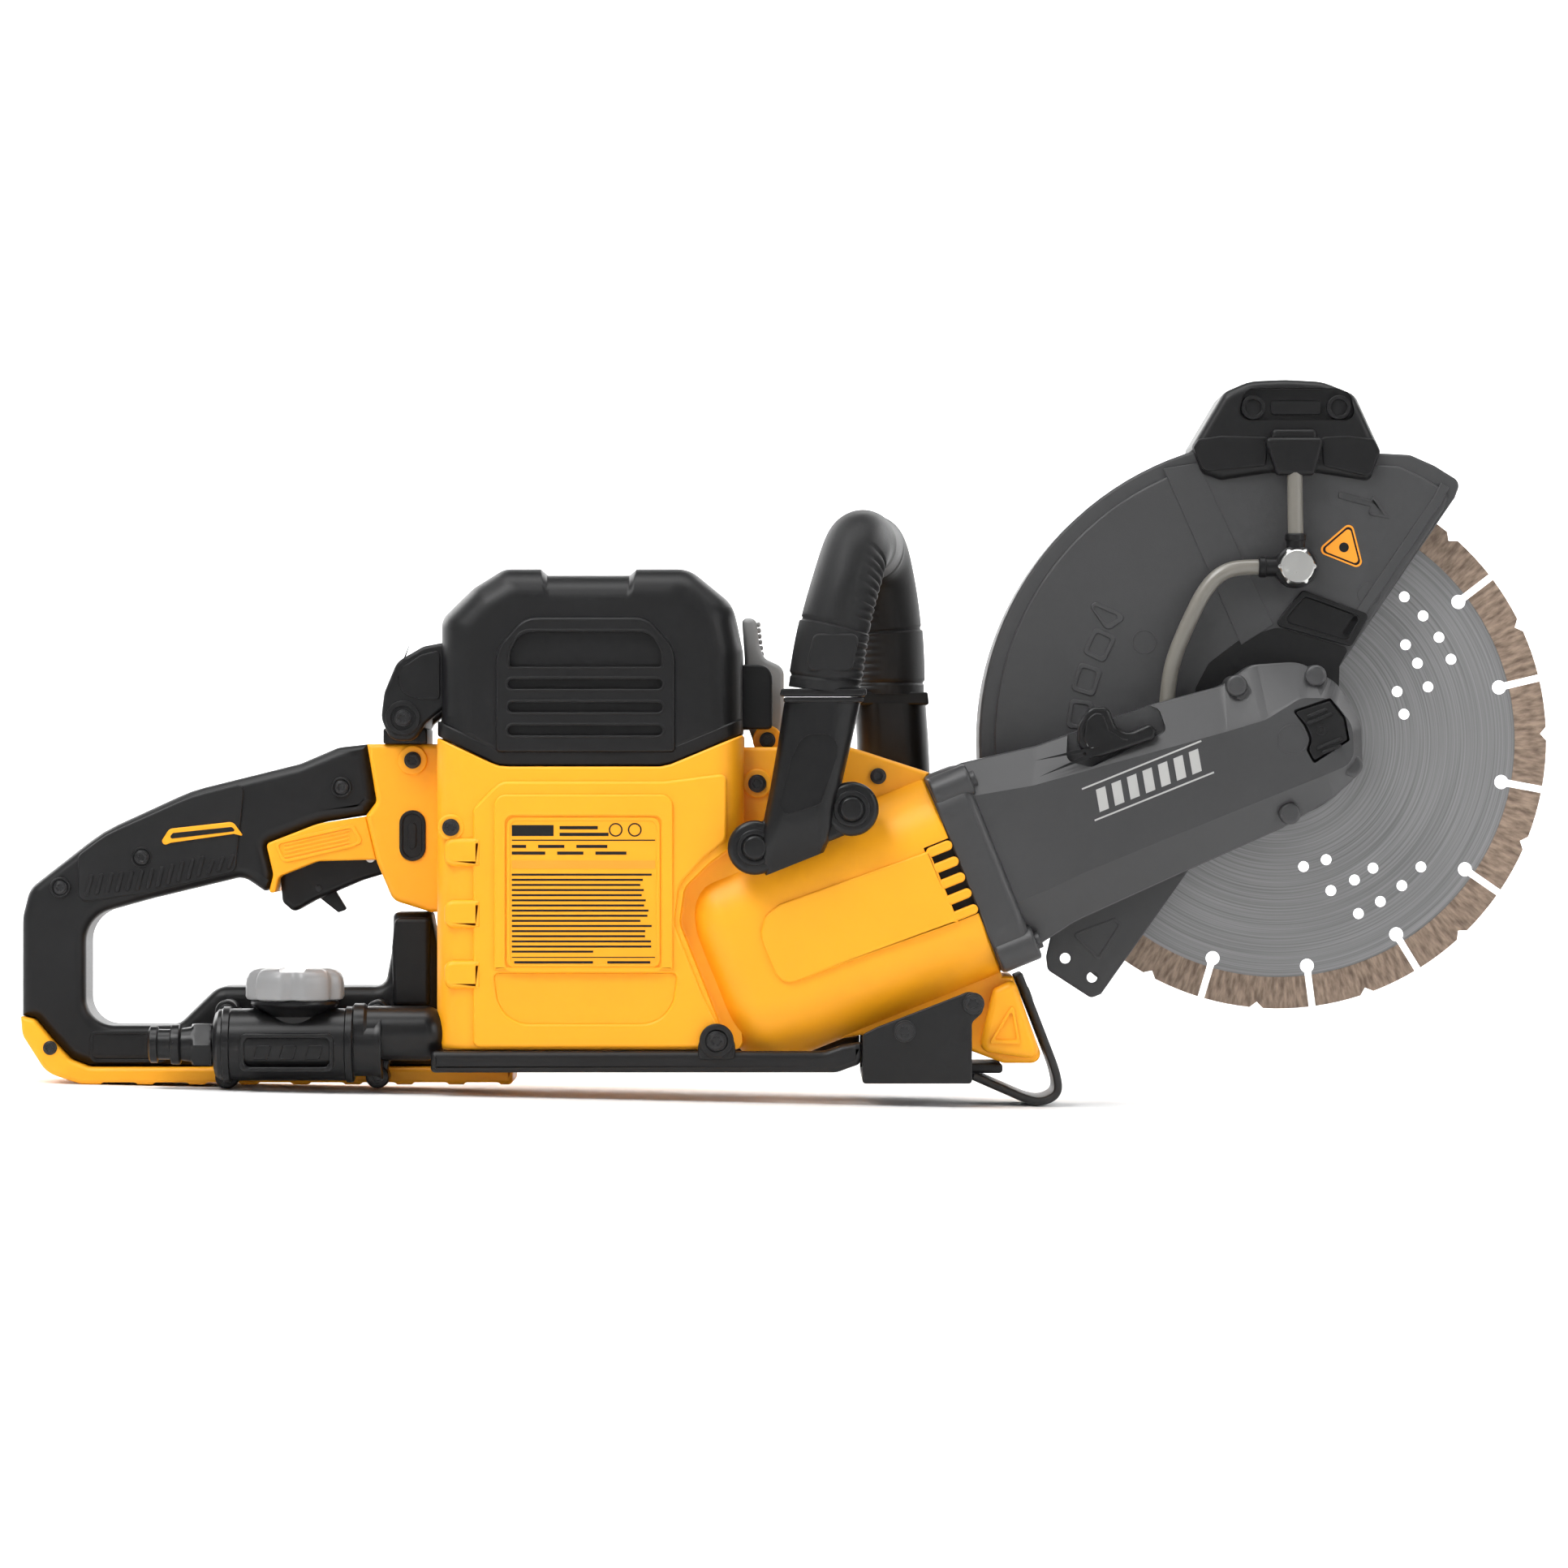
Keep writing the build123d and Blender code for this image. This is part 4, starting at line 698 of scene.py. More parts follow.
rear_handle()
place(ribbed_grip(), "body", "grip_rubber", "handle_grip")
place(yellow_insert(), "body", "yellow_shell", "handle_insert")
place(skid(), "body", "yellow_shell", "base_skid")
strip()
HANDLE_SCREW_AT = [(-188.0, -18.4, 135.0, 3.0), (-272.8, -19.4, 105.3, 3.0), (-307.4, -18.4, 92.4, 3.0),
                   (-311.2, -23.4, 24.5, 3.0)]
screws("handle_screw_heads", "screw_black", "body", HANDLE_SCREW_AT, "handle_screws")
plug = [([slot_path(-157.6, 114.5, 21.6, 11.2, 90), slot_path(-157.6, 114.5, 18.4, 8.0, 90)], -NECK_Y - 0.9,
         -NECK_Y + 1, 0.35), ([slot_path(-157.6, 114.5, 18.6, 8.2, 90)], -NECK_Y - 0.5, -NECK_Y + 1, 0.3),
        ([slot_path(-157.6, 114.5, 11, 3.4, 90)], -NECK_Y - 1.2, -NECK_Y, 0.4)]
place(plates("neck_plug", BLACK, plug), "body", "black_plastic", "side_plug")
gusset = corner_path([(-166, 42, 2), (-150.5, 42, 2), (-150.5, 79.6, 2), (-165.4, 79.6, 3), (-166.6, 67, 6)])
place(plates("handle_gusset", BLACK, [([gusset], -20, 20, 2.0, 3)]), "body", "black_plastic")

# ---- trigger and its lock ----
TRIGGER = [(-214.8, 95, 2), (-214, 86, 3), (-209, 81.6, 3), (-199.8, 86.8, 8), (-180, 95.2, 20),
           (-170, 98.2, 2), (-170, 108, 4), (-182, 108, 2), (-214.8, 103, 2)]
LOCK = [(-201.6, 94, 2), (-196, 95, 2), (-191, 90, 2), (-186.6, 82.8, 1), (-190.4, 81.4, 1),
        (-198, 87.4, 3), (-201.6, 89.5, 2)]
blade_room = [plate_mesh([box_path(-204, -184, 70, 120)], -3.2, 3.2, 0.02, 1)]
lever = cut(plates("trigger_lever", BLACK, [([corner_path(TRIGGER)], -8, 8, 2.4, 4)]), blade_room)
place(shade(lever), "trigger", "black_plastic", "trigger")
place(plates("trigger_lock", BLACK, [([corner_path(LOCK)], -2.9, 2.9, 0.7)]), "lock_off", "black_plastic",
      "lock_off")
place(plates("trigger_pin", SCREW, [([circle(-198.4, 92, 1.5)], -8.3, -7, 0.3)]), "trigger", "black_plastic")

# ---- battery cover and latch ----
COVER = [(-146.2, 156.9), (-144.4, 164.5), (-144.4, 206, 8), (-131, 219, 14), (-118, 227.1, 10),
         (-102.5, 227.1, 1), (-99.8, 224.4, 1), (-65, 224.4, 1), (-62.2, 227.1, 1), (-40, 227.1, 14),
         (-21.5, 212, 14), (-17.6, 193, 20), (-17.4, 157.9), (-49.8, 144.4, 6), (-120.1, 144.4, 6)]


COVER_FACE = [(-131, 158), (-130.5, 166, 2), (-130, 199, 8), (-122, 208.5, 12), (-113, 214, 10),
              (-100.5, 214, 2), (-98.5, 212.8, 2), (-66, 212.8, 2), (-64, 214, 2), (-46, 213.6, 12),
              (-35, 204, 12), (-31.5, 190, 14), (-31, 159.5), (-53, 150.4, 6), (-117, 150.4, 6)]


def cover_shoulders():
    """The cover's two sides round off softly from its outline to a smaller flat face."""
    outer = fixed_path([(c + (0.6,))[:3] for c in COVER])
    inner = fixed_path([(c + (0.6,))[:3] for c in COVER_FACE])
    turns = [math.pi / 2 * k / 9 for k in range(10)]
    near = [(-COVER_Y + 15 * (1 - math.sin(t)), 1 - math.cos(t)) for t in turns]
    rings = []
    for y, mix in [(-y, m) for y, m in reversed(near)] + near:
        rings.append(mixed_ring(outer, inner, y, mix))
    return loft_mesh(rings[::-1])


def battery_cover():
    middle = corner_path([(-121, 149.6, 2), (-121, 193, 14), (-109, 206.4, 12), (-57.6, 206.4, 12),
                          (-45.6, 193, 14), (-45.6, 149.6, 2)])
    raised = []
    for side in (-1, 1):
        low, high = sorted((side * (COVER_Y - 4), side * (COVER_Y + 1.4)))
        raised.append(plate_mesh([middle], low, high, 1.3, 4))
    body = made("cover_shell", cover_shoulders(), BLACK)
    pads = made("cover_middle", merged(raised), BLACK)
    cuts = [plate_mesh([slot_path(-83.5, z, 64.9, 4.1)], side * COVER_Y - 3, side * COVER_Y + 3, 0.1, 1)
            for z in (178.4, 168.6, 158.9) for side in (-1, 1)]
    arch = corner_path([(-115, 185.6, 1), (-51.6, 185.6, 1), (-51.6, 192, 7), (-56, 200.3, 8),
                        (-110.6, 200.3, 8), (-115, 192, 7)])
    cuts += [plate_mesh([arch], side * COVER_Y - 3, side * COVER_Y + 3, 0.1, 1) for side in (-1, 1)]
    cut(body, [merged(cuts)])
    cut(pads, [merged(cuts)])
    floors = [([corner_path([(-118, 154, 2), (-48, 154, 2), (-48, 202, 8),
                             (-118, 202, 8)])], side * 48.6 - 1.2,
               side * 48.6 + 1.2, 0.3) for side in (-1, 1)]
    for side in (-1, 1):
        low, high = sorted((side * 49, side * 53.6))
        for z in (178.4, 168.6, 158.9):
            floors.append(([slot_path(-83.5, z, 67.5, 6.5), slot_path(-83.5, z, 64.9, 4.1)], low, high,
                           0.55, 3))
        lip = [(-116.3, 184.6, 1), (-50.3, 184.6, 1), (-50.3, 192, 7), (-55.4, 201.6, 8),
               (-111.2, 201.6, 8), (-116.3, 192, 7)]
        floors.append(([corner_path(lip), arch], low, high, 0.5, 3))
    return shade(body, 50), shade(pads), floors


def cover_band():
    """The flange of the cover along its parting line."""
    levels = [(lambda x: parting_z(x) + 0.4, 2.0), (lambda x: parting_z(x) + 0.5, 0.4),
              (lambda x: parting_z(x) + 1.2, 0.0), (lambda x: parting_z(x) + 6.2, 0.0),
              (lambda x: parting_z(x) + 6.9, 0.5), (lambda x: parting_z(x) + 7.0, 4.0)]
    return loft_mesh(plan_rings(-146, -17.4, COVER_Y, 12, levels), cap=False)


hood, hood_middle, hood_floors = battery_cover()
place(hood, "battery_cover", "black_plastic", "battery_cover")
place(hood_middle, "battery_cover", "black_plastic")
place(plates("cover_recesses", BLACK, hood_floors), "battery_cover", "black_plastic")
place(shade(made("cover_flange", cover_band(), BLACK)), "battery_cover", "black_plastic")
LUG = [(-141.6, 170, 2), (-141.6, 196.5, 2), (-152.3, 194.5, 8), (-163.4, 188, 8), (-168.8, 175, 10),
       (-170.1, 164.2, 9), (-166, 154.6, 6), (-156, 154.6, 6), (-151.3, 162, 4)]
lug_in = corner_path([(-145, 172, 2), (-145, 193, 2), (-153, 191, 6), (-161.5, 185.5, 6),
                      (-165.8, 175, 8), (-152, 172, 4)])
lugs = []
for low in (-38, 24):
    lugs.append(([corner_path(LUG)], low, low + 14, 1.8, 3))
    lugs.append(([circle(*HINGE, 7.4), circle(*HINGE, 5.0)], low - 0.8, low + 14.8, 0.5))
lugs.append(([lug_in], -38.5, -36, 0.5))
place(plates("cover_lugs", BLACK, lugs), "battery_cover", "black_plastic")
brackets = [([corner_path([(-18.5, 159.6), (-4.9, 159.6, 2), (-4.9, 187, 6),
                           (-18.5, 187, 2)])], low, low + 7.4, 1.2)
            for low in (-28, 20.6)]
place(plates("cover_latch_sides", BLACK, brackets), "battery_cover", "black_plastic")
screws("hinge_pin_head", "screw_black", "body", [(HINGE[0], -38.4, HINGE[1], 3.5)], "hinge_pin")
seat = [([circle(*HINGE, 9.3)], -23.7, 23.7, 1.0),
        ([corner_path([(-170, 153.4, 1), (-151.4, 153.4), (-151.4, 160, 1),
                       (-170, 160, 1)])], -23.7, 23.7, 1.0)]
place(plates("hinge_seat", BLACK, seat), "body", "black_plastic", "hinge_base")
LATCH_FACE = [(-16.6, 164, 3), (-16.8, 190, 30), (-18.0, 207, 2), (-11.8, 207, 3), (-10.4, 195, 12),
              (-8.4, 190, 4), (0, 186, 5), (0, 166, 8), (-1.4, 153, 5), (-7, 149.2, 5), (-12.6, 153, 5)]
lever_parts = [([corner_path(LATCH_FACE)], -14, 14, 2.0, 3)]
for i in range(6):
    lever_parts.append(([circle(-10.9 + 0.3 * i, 204.5 - 2.5 * i, 0.9, 16)], -12, 12, 0.3))
place(plates("latch_lever", LATCH_GREY, lever_parts), "latch", "latch_grey", "latch")

# ---- housing screws ----
HOUSING_HEADS = [(-157.5, -23.0, 146.5, 3.6), (-139.6, -56.8, 118.2, 3.6), (-11.3, -36.8, 136.6, 3.8),
                 (LATCH[0], -20.4, LATCH[1], 3.4), (39.8, -35.4, 139.7, 3.4)]
screws("housing_screw_heads", "screw_black", "body", HOUSING_HEADS, "housing_screws")

# ---- gear case ----
ARM = [(62, 139, 2, 66, 127, 2), (75, 145.3, 4, 80, 131.5, 3), (106.6, 152.5, 30, 104, 135.6, 20),
       (155.6, 170, 30, 150, 148.4, 30), (184.3, 177.7, 10, 186, 158.4, 20),
       (197, 186.6, 10, 202, 163.2, 14), (217, 188, 16, 217, 172.5, 10), (233, 179, 14, 230, 172.5, 10),
       (243.2, 162, 12, 238.6, 161, 12), (243.9, 142, 8, 239.4, 145.5, 8), (232, 131, 10, 228, 140.5, 10),
       (209.5, 117.6, 30, 205, 131.3, 30), (170.2, 100.1, 60, 165, 115.2, 60),
       (122.7, 78.5, 40, 125, 98.8, 40), (108.7, 69.4, 4, 112, 92.5, 4), (88, 62, 2, 96, 86, 2)]


def arm_mesh():
    """The arm narrows from its outline to a creased flat face on the near side."""
    outer = fixed_path([c[:3] for c in ARM], 8)
    inner = fixed_path([c[3:] for c in ARM], 8)
    rings = []
    for y, mix in ((-17, 0.0), (-17.8, -0.01), (-41.5, 0.0), (-42.3, 0.03), (-51.3, 0.93), (-52, 1.0)):
        rings.append(mixed_ring(outer, inner, y, mix))
    return loft_mesh(rings)


def in_triangles(mesh):
    """A mesh with no face that can bend, ready to be cut."""
    work = bmesh.new()
    work.from_mesh(mesh)
    bmesh.ops.triangulate(work, faces=work.faces)
    work.to_mesh(mesh)
    work.free()
    return mesh


BOSSES = ((190.3, 177.7), (223.5, 181.9), (238.8, 144.1), (212.7, 124.0), (140.0, 162.0), (150.0, 92.5))


def lever_pocket():
    return plate_mesh([corner_path([(118.5, 146, 4), (120.5, 170, 4), (137, 176, 4), (158, 168, 4),
                                    (161, 158.5, 3), (129, 143.4, 4)])], -60, -41.2, 0.4, 1)


def gear_case():
    body = made("gear_case_arm", in_triangles(arm_mesh()), CAST)
    cut(body, [lever_pocket(), plate_mesh([corner_path(LOCK_OUT)], -60, -46.5, 0.2, 1)])
    shade(body, 16)
    parts = []
    for x, z in BOSSES[:4]:
        toward = (Vector((SPINDLE_X, SPINDLE_Z)) - Vector((x, z))).normalized() * 7
        parts.append(([circle(x, z, 4.6, 28)], -49, -17, 1.6, 3))
        parts.append(([slot_path(x + toward.x / 2, z + toward.y / 2, 15, 7.4,
                                 math.degrees(math.atan2(toward.y, toward.x)))], -46.5, -17, 1.6, 3))
    parts.append(([circle(213.6, 155, 6.6), circle(213.6, 155, 6.0)], -52.25, -51, 0.12))
    return body, plates("gear_case_bosses", CAST, parts)


LOCK_FACE = [(214.3, 166.5, 1), (229, 171.4, 1), (234.8, 164, 3), (236.5, 155, 1), (222.7, 146.2, 1),
             (220.2, 150.6, 2), (221.6, 155.2, 3), (219.0, 161.4, 3)]
LOCK_OUT = [(213.4, 167.2, 1), (229.3, 172.6, 1), (235.7, 164.4, 3), (237.5, 154.7, 1), (222.4, 144.9, 1),
            (219.2, 150.5, 2), (220.6, 155.2, 3), (218.2, 160.8, 3)]


def lock_button():
    parts = [([corner_path(LOCK_FACE)], -52.0, -49.6, 0.6), ([circle(229.3, 157, 1.8, 20)], -50, -43.6, 0.2)]
    along = Vector((COS, SIN))
    up = Vector((-along.y, along.x))
    for n in (-8.6, -6.0, 5.2, 7.8):
        centre = Vector((226.6, 159.0)) + up * n
        parts.append(([slot_path(centre.x, centre.y, 11.5 if abs(n) < 7 else 9.0, 1.5, ARM_DEGREES)], -53.1,
                      -51.4, 0.5))
    parts.append(([circle(225.5, 159.2, 2.4, 24), circle(225.5, 159.2, 1.3, 24)], -52.5, -51.4, 0.25))
    return plates("lock_button_face", BLACK, parts)


def collar():
    stations = ((131.0, 2.5), (131.8, 1.2), (133.2, 0.3), (135, 0), (146.4, 0), (147.2, 0.4), (147.7, 1.2))
    rings = []
    for s, inset in stations:
        section = rounded_rect(86 - 2 * inset, 89.3 - 2 * inset, max(20 - inset, 2), steps=7)
        rings.append([on_axis(s, BARREL_Y - p.x, BARREL_N + p.y) for p in section])
    meshes = [loft_mesh(rings)]
    direction = (-COS, 0, -SIN)
    for y in (-35.0, 35.0):
        for n in (-37.0, 36.0):
            start = on_axis(129.6, BARREL_Y + y, BARREL_N + n)
            meshes.append(lathe_mesh(rounded_profile(17.5, 7.5, 1.4), start, direction, 36))
            tip = on_axis(127.4, BARREL_Y + y, BARREL_N + n)
            meshes.append(lathe_mesh(rounded_profile(3.0, 3.6, 0.6), tip, direction, 28))
    return merged(meshes)


# Painted shade: a near-black plate on the floor of the lock button's pocket stands in for the shade in the
# gap round the button.
lock_pocket_shade_plate = [([corner_path(LOCK_OUT)], -46.9, -46.0, 0.1)]
arm_body, arm_bosses = gear_case()
place(arm_body, "body", "grey_cast", "gear_case")
place(arm_bosses, "body", "grey_cast")
place(plates("lock_pocket_shade_plate", SEAM_AND_SHADE_DARK, lock_pocket_shade_plate), "body", "black_plastic")
place(lock_button(), "lock_button", "black_plastic", "lock_button")
place(shade(made("gear_case_collar", collar(), CAST)), "body", "grey_cast", "gear_case_screws")


def axis_points(pairs):
    """(s, n) along and across the arm's axis, as side view points."""
    return [Vector((p.x, p.z)) for p in (on_axis(s, 0, n) for s, n in pairs)]


def arm_mark():
    """A plain light band of slanted bars, lying along the arm's face."""
    parts = []
    for n in (-1.6, 12.6):
        parts.append(([axis_points([(34, n), (88, n), (88, n + 0.7),
                                    (34, n + 0.7)])], -52.12, -51.6, 0.04, 1))
    for i in range(7):
        s = 38.5 + 7 * i
        parts.append(([axis_points([(s, 1.2), (s + 4.2, 1.2), (s + 2.2, 10.5),
                                    (s - 2.0, 10.5)])], -52.15, -51.6, 0.04, 1))
    return plates("arm_mark", MARK, parts)


place(arm_mark(), "body", "grey_cast")
LEVER = [(123.4, 153.5, 3), (123.6, 161, 4), (128, 168.6, 4.5), (136, 168.8, 4), (139.4, 160.4, 3),
         (144, 157.4, 5), (153.4, 161.6, 2), (156.4, 159.2, 1.5), (155.4, 155.2, 2), (134, 148.1, 6),
         (127.6, 147.2, 3)]
lever_body = [([corner_path(LEVER)], -53, -42, 1.6, 4)]
lever_rim = corner_path([(125.4, 156, 2), (126.6, 163, 4), (130, 166.2, 3), (134, 166, 3),
                         (136.6, 158.8, 3), (143, 154.8, 5), (151, 156.8, 1.5), (134, 150.4, 6),
                         (128.4, 149.8, 3)])
lever_body.append(([lever_rim], -53.5, -52, 0.8, 3))
place(plates("guard_release", GLOSS, lever_body), "guard_lever", "gloss_black", "guard_lever")

# ---- guard ----
def arc(x, z, radius, start, end, step=3.0):
    count = max(2, math.ceil(abs(end - start) / step))
    angles = [math.radians(start + (end - start) * i / count) for i in range(count + 1)]
    return [Vector((x + radius * math.cos(a), z + radius * math.sin(a))) for a in angles]


def guard_edge(inset):
    """The outer edge of the guard from its tail round to its front lip, drawn in by inset."""
    points = arc(SPINDLE_X, SPINDLE_Z, 128.5 - inset, 234.4, 73)
    lip = [(251.5, 277.4), (266.6, 276.6, 6), (277, 272, 4), (288.2, 265, 4), (285.6, 258)]
    lip = [(c[0] - inset * 0.75, c[1] - inset * 0.75, *c[2:]) for c in lip]
    tip = corner_path([(240, 240)] + lip + [(250, 230)])
    return points + tip[1:-1]


OPEN_EDGE = [(281, 251.4), (243.0, 195.8), (237, 187), *arc(SPINDLE_X, SPINDLE_Z, 28, 54, 233), (171, 98),
             (141, 56)]


def guard_side(inset=0.0):
    return guard_edge(inset) + [Vector(p) for p in OPEN_EDGE[1:]]


def tail_plate():
    return corner_path([(111.5, 63, 3), (112.2, 57.2, 3), (130.7, 45.2, 3), (135, 47), (171, 98), (118, 92)])


def guard_shell():
    y0, y1 = GUARD_Y
    neck_hole = circle(SPINDLE_X, SPINDLE_Z, 24.2, 48)
    wall = guard_edge(0.0)
    inner = guard_edge(2.6)
    keep = [i for i, p in enumerate(wall) if p.y > 72]
    band = [wall[i] for i in keep] + [inner[i] for i in reversed(keep)]
    hub = circle(SPINDLE_X, SPINDLE_Z, 33, 64)
    far = [p for p in guard_edge(1.2) if p.y > 72] + [Vector((243.0, 195.8))]
    far += arc(SPINDLE_X, SPINDLE_Z, 42, 54, 233) + [Vector((171, 98)), Vector((152, 72))]
    parts = [([guard_side(0.6)], y0 + 1.1, y0 + 3.0, 0.6), ([guard_side(6.6)], y0, y0 + 2.4, 1.0),
             ([hub, neck_hole], y0 + 0.9, y0 + 3.2, 0.4), ([band], y0 + 1.4, y1, 0.6),
             ([far], y1 - 2.6, y1, 0.8)]
    holes = [circle(119.7, 62.2, 2.25, 20), circle(131.1, 54.1, 2.25, 20)]
    parts.append(([tail_plate()] + holes, y0 - 0.2, y0 + 2.6, 0.6))
    return plates("guard_cover", GUARD, parts, 30)


def framed(corners, inner, y, rise=0.55):
    return ([corner_path(corners), corner_path(inner)], y - rise, y + 0.5, 0.45)


def tilted_square(x, z, wide, tall, angle, edge):
    turned = Matrix.Rotation(math.radians(angle), 2)
    corners = []
    for sx, sz in ((-1, -1), (1, -1), (1, 1), (-1, 1)):
        p = Vector((x, z)) + turned @ Vector((sx * (wide / 2 - edge), sz * (tall / 2 - edge)))
        corners.append((p.x, p.y, 2.2 - edge * 0.4))
    return corners


def guard_marks():
    """Raised seams, frames, arrow and ejector marks on the near side."""
    y = GUARD_Y[0]
    parts = []
    strip_ = corner_path([(161.4, 270.6, 0.3), (194.6, 195.5, 0.3), (208.3, 204.2, 0.3), (176.2, 273.0, 0.3)])
    parts.append(([strip_], y - 0.5, y + 0.5, 0.3))
    for x, z, wide, tall, angle in ((134.3, 195.5, 12.5, 10.5, 64), (128.8, 180.8, 12.5, 10.5, 72),
                                    (126.0, 165.9, 12.5, 10.5, 82)):
        parts.append(framed(tilted_square(x, z, wide, tall, angle, 0),
                            tilted_square(x, z, wide, tall, angle, 1.9), y))
    parts.append(framed([(127, 216.5, 2), (146.5, 207.5, 2), (137.5, 201, 3)],
                        [(129.2, 213.6, 1), (142.6, 207.5, 1), (137.3, 203.9, 1.5)], y))
    arrow = [(235.3, 262.3), (249.3, 258.5), (248.6, 255.2), (257.0, 253.6, 0.5), (250.4, 263.4),
             (249.8, 261.0), (235.7, 265)]
    arrow = [(x + 0.6, z - 4.2) for x, z, *_ in arrow]
    inner = [(a + (246.5 - a) * 0.16, b + (255.2 - b) * 0.2) for a, b in arrow]
    parts.append(([corner_path(arrow), corner_path(inner)], y - 0.5, y + 0.4, 0.15))
    for x, z in ((153.4, 196.8), (249.2, 217.5)):
        parts.append(([circle(x, z, 5.2), circle(x, z, 4.7)], y - 0.25, y + 0.4, 0.12))
    tri = corner_path([(122.5, 72.5, 1.5), (134.0, 61.0, 1.5), (144.0, 76.5, 1.5), (141.0, 79.5, 1.5)])
    tri_in = corner_path([(124.6, 72.3, 1), (133.8, 62.8, 1), (142.4, 76.3, 1), (140.4, 78.2, 1)])
    parts.append(([tri, tri_in], y - 0.55, y + 0.4, 0.15))
    lip = [Vector(p) for p in ((283.0, 262.6), (280.2, 256.6), (240.4, 198.2), (236.6, 200.2),
                               (276.6, 258.8), (279.6, 264.6))]
    parts.append(([lip], y - 0.7, y + 0.5, 0.5))
    return plates("guard_marks", GUARD, parts)


def hazard_mark():
    """A plain amber triangle with a dark border and no picture."""
    y = GUARD_Y[0]
    corners = ((241.6, 248.6), (226.3, 235.4), (247.0, 227.2))
    middle = Vector((238.3, 237.1))

    def ring(scale, radius):
        return corner_path([(middle.x + (x - middle.x) * scale, middle.y + (z - middle.y) * scale, radius)
                            for x, z in corners])
    parts = [([ring(1.0, 2.4)], y - 0.2, y + 0.3, 0.08, 1)]
    dark = [([ring(0.88, 1.8), ring(0.76, 1.4)], y - 0.28, y, 0.03, 1),
            ([circle(middle.x, middle.y, 2.1, 20)], y - 0.28, y, 0.03, 1)]
    return plates("hazard_amber", MARK_ORANGE, parts), plates("hazard_dark", BLACK, dark)


def guard_pad():
    """Dark pocket insert at the guard's inner edge and the crescent round the hub."""
    y = GUARD_Y[0]
    outer = corner_path([(220.6, 219, 2), (249.2, 208.5, 2), (241.4, 194.7, 2), (208.5, 204, 2)])
    inner = corner_path([(221.6, 216.2, 2), (245.4, 207.4, 2), (239.6, 197.4, 2), (212.5, 205.6, 2)])
    parts = [([outer, inner], y - 1.6, y + 0.4, 0.5), ([inner], y - 0.7, y + 0.3, 0.3)]
    crescent = corner_path([(174.7, 176.5, 4), (180.8, 188, 8), (194, 198, 10), (210, 203.2, 8),
                            (240.5, 194.4, 2), (236.4, 186.6, 2), (236, 172, 6), (210, 130, 20),
                            (180, 160, 10)])
    parts.append(([crescent, circle(SPINDLE_X, SPINDLE_Z, 24.4, 48)], y - 0.35, y + 0.3, 0.15))
    return plates("guard_insert", BLACK, parts)


GUARD_GRIP = [(173.3, 280, 3), (177.5, 268.5, 5), (186, 265.6, 4), (206.8, 268.7), (226.7, 268.7),
              (249.2, 265.2, 3), (254, 278, 4), (243, 302, 7), (229.3, 307.6, 20), (213.7, 308.48, 60),
              (198, 307.8, 20), (187, 303, 7)]


def guard_handle():
    y0, y1 = GUARD_Y[0] - 4, GUARD_Y[1] + 3.4
    recess = corner_path([(192.6, 291, 4), (243.4, 291, 4), (240.2, 304.6, 5), (195.8, 304.6, 5)])
    body = plates("guard_handle_body", BLACK, [([corner_path(GUARD_GRIP)], y0, y1, 4.2, 5)])
    room = plate_mesh([guard_side(-0.6)], GUARD_Y[0] - 0.2, GUARD_Y[1] + 0.2, 0.02, 1)
    cut(body, [plate_mesh([recess], y0 - 2, y0 + 3.4, 0.4, 1),
               plate_mesh([recess], y1 - 3.4, y1 + 2, 0.4, 1), room])
    shade(body)
    parts = []
    for x, z in ((199.5, 296.5), (235.9, 296.5)):
        parts.append(([circle(x, z, 5.2), circle(x, z, 3.4)], y0 + 0.4, y0 + 4, 0.5))
        parts.append(([circle(x, z, 3.6)], y0 + 1.8, y0 + 4, 0.3))
    parts.append(([box_path(207, 228.4, 293.5, 299.5, 1.5)], y0 + 2.2, y0 + 4, 0.4))
    rim = corner_path([(173.8, 279.6, 2), (178, 269, 4), (205, 271.5, 2), (206, 284, 2), (186, 284.5, 3),
                       (176, 283, 2)])
    rim2 = corner_path([(253.4, 278, 2), (249.4, 266.8, 3), (229, 271.5, 2), (228, 284, 2),
                        (240, 284.5, 3), (251, 283, 2)])
    parts += [([rim], y0 - 0.5, y0 + 2, 0.9, 3), ([rim2], y0 - 0.5, y0 + 2, 0.9, 3)]
    details = plates("guard_handle_details", BLACK, parts)
    nozzle = [([corner_path([(203.6, 283.4, 2), (209, 267.4, 2), (225, 267.4, 2), (229.4, 283.4, 2)])],
               y0 - 6.6, y0 + 1, 1.8, 4),
              ([corner_path([(207.4, 287, 2), (206.2, 281, 1), (226.8, 281, 1),
                             (225.6, 287, 2)])], y0 - 3.6, y0 + 1,
               1.4, 3)]
    return body, details, plates("nozzle_body", BLACK, nozzle)


def tee():
    profile = [(0, 7.8), (0.8, 8.8), (1.6, 9), (8.8, 9), (10.2, 8.2), (10.4, 7.4)]
    meshes = [lathe_mesh(profile, (TEE[0], -24.6, TEE[1]), (0, 1, 0), 40)]
    for start, direction, length in (((TEE[0] - 4, HOSE_Y, TEE[1]), (-1, 0, 0), 11.8),
                                     ((TEE[0], HOSE_Y, TEE[1] + 4), (0, 0, 1), 10.2)):
        profile = [(0, 4.1), (length - 3.2, 4.1), (length - 2.8, 4.5), (length - 0.6, 4.5), (length, 4.0)]
        meshes.append(lathe_mesh(profile, start, direction, 32))
    return shade(made("tee_body", merged(meshes), BLACK))


def hex_wall(a, apothem):
    """Distance at angle a from the middle of a hexagon to its edge."""
    return apothem / math.cos((a + math.pi / 6) % (math.pi / 3) - math.pi / 6)


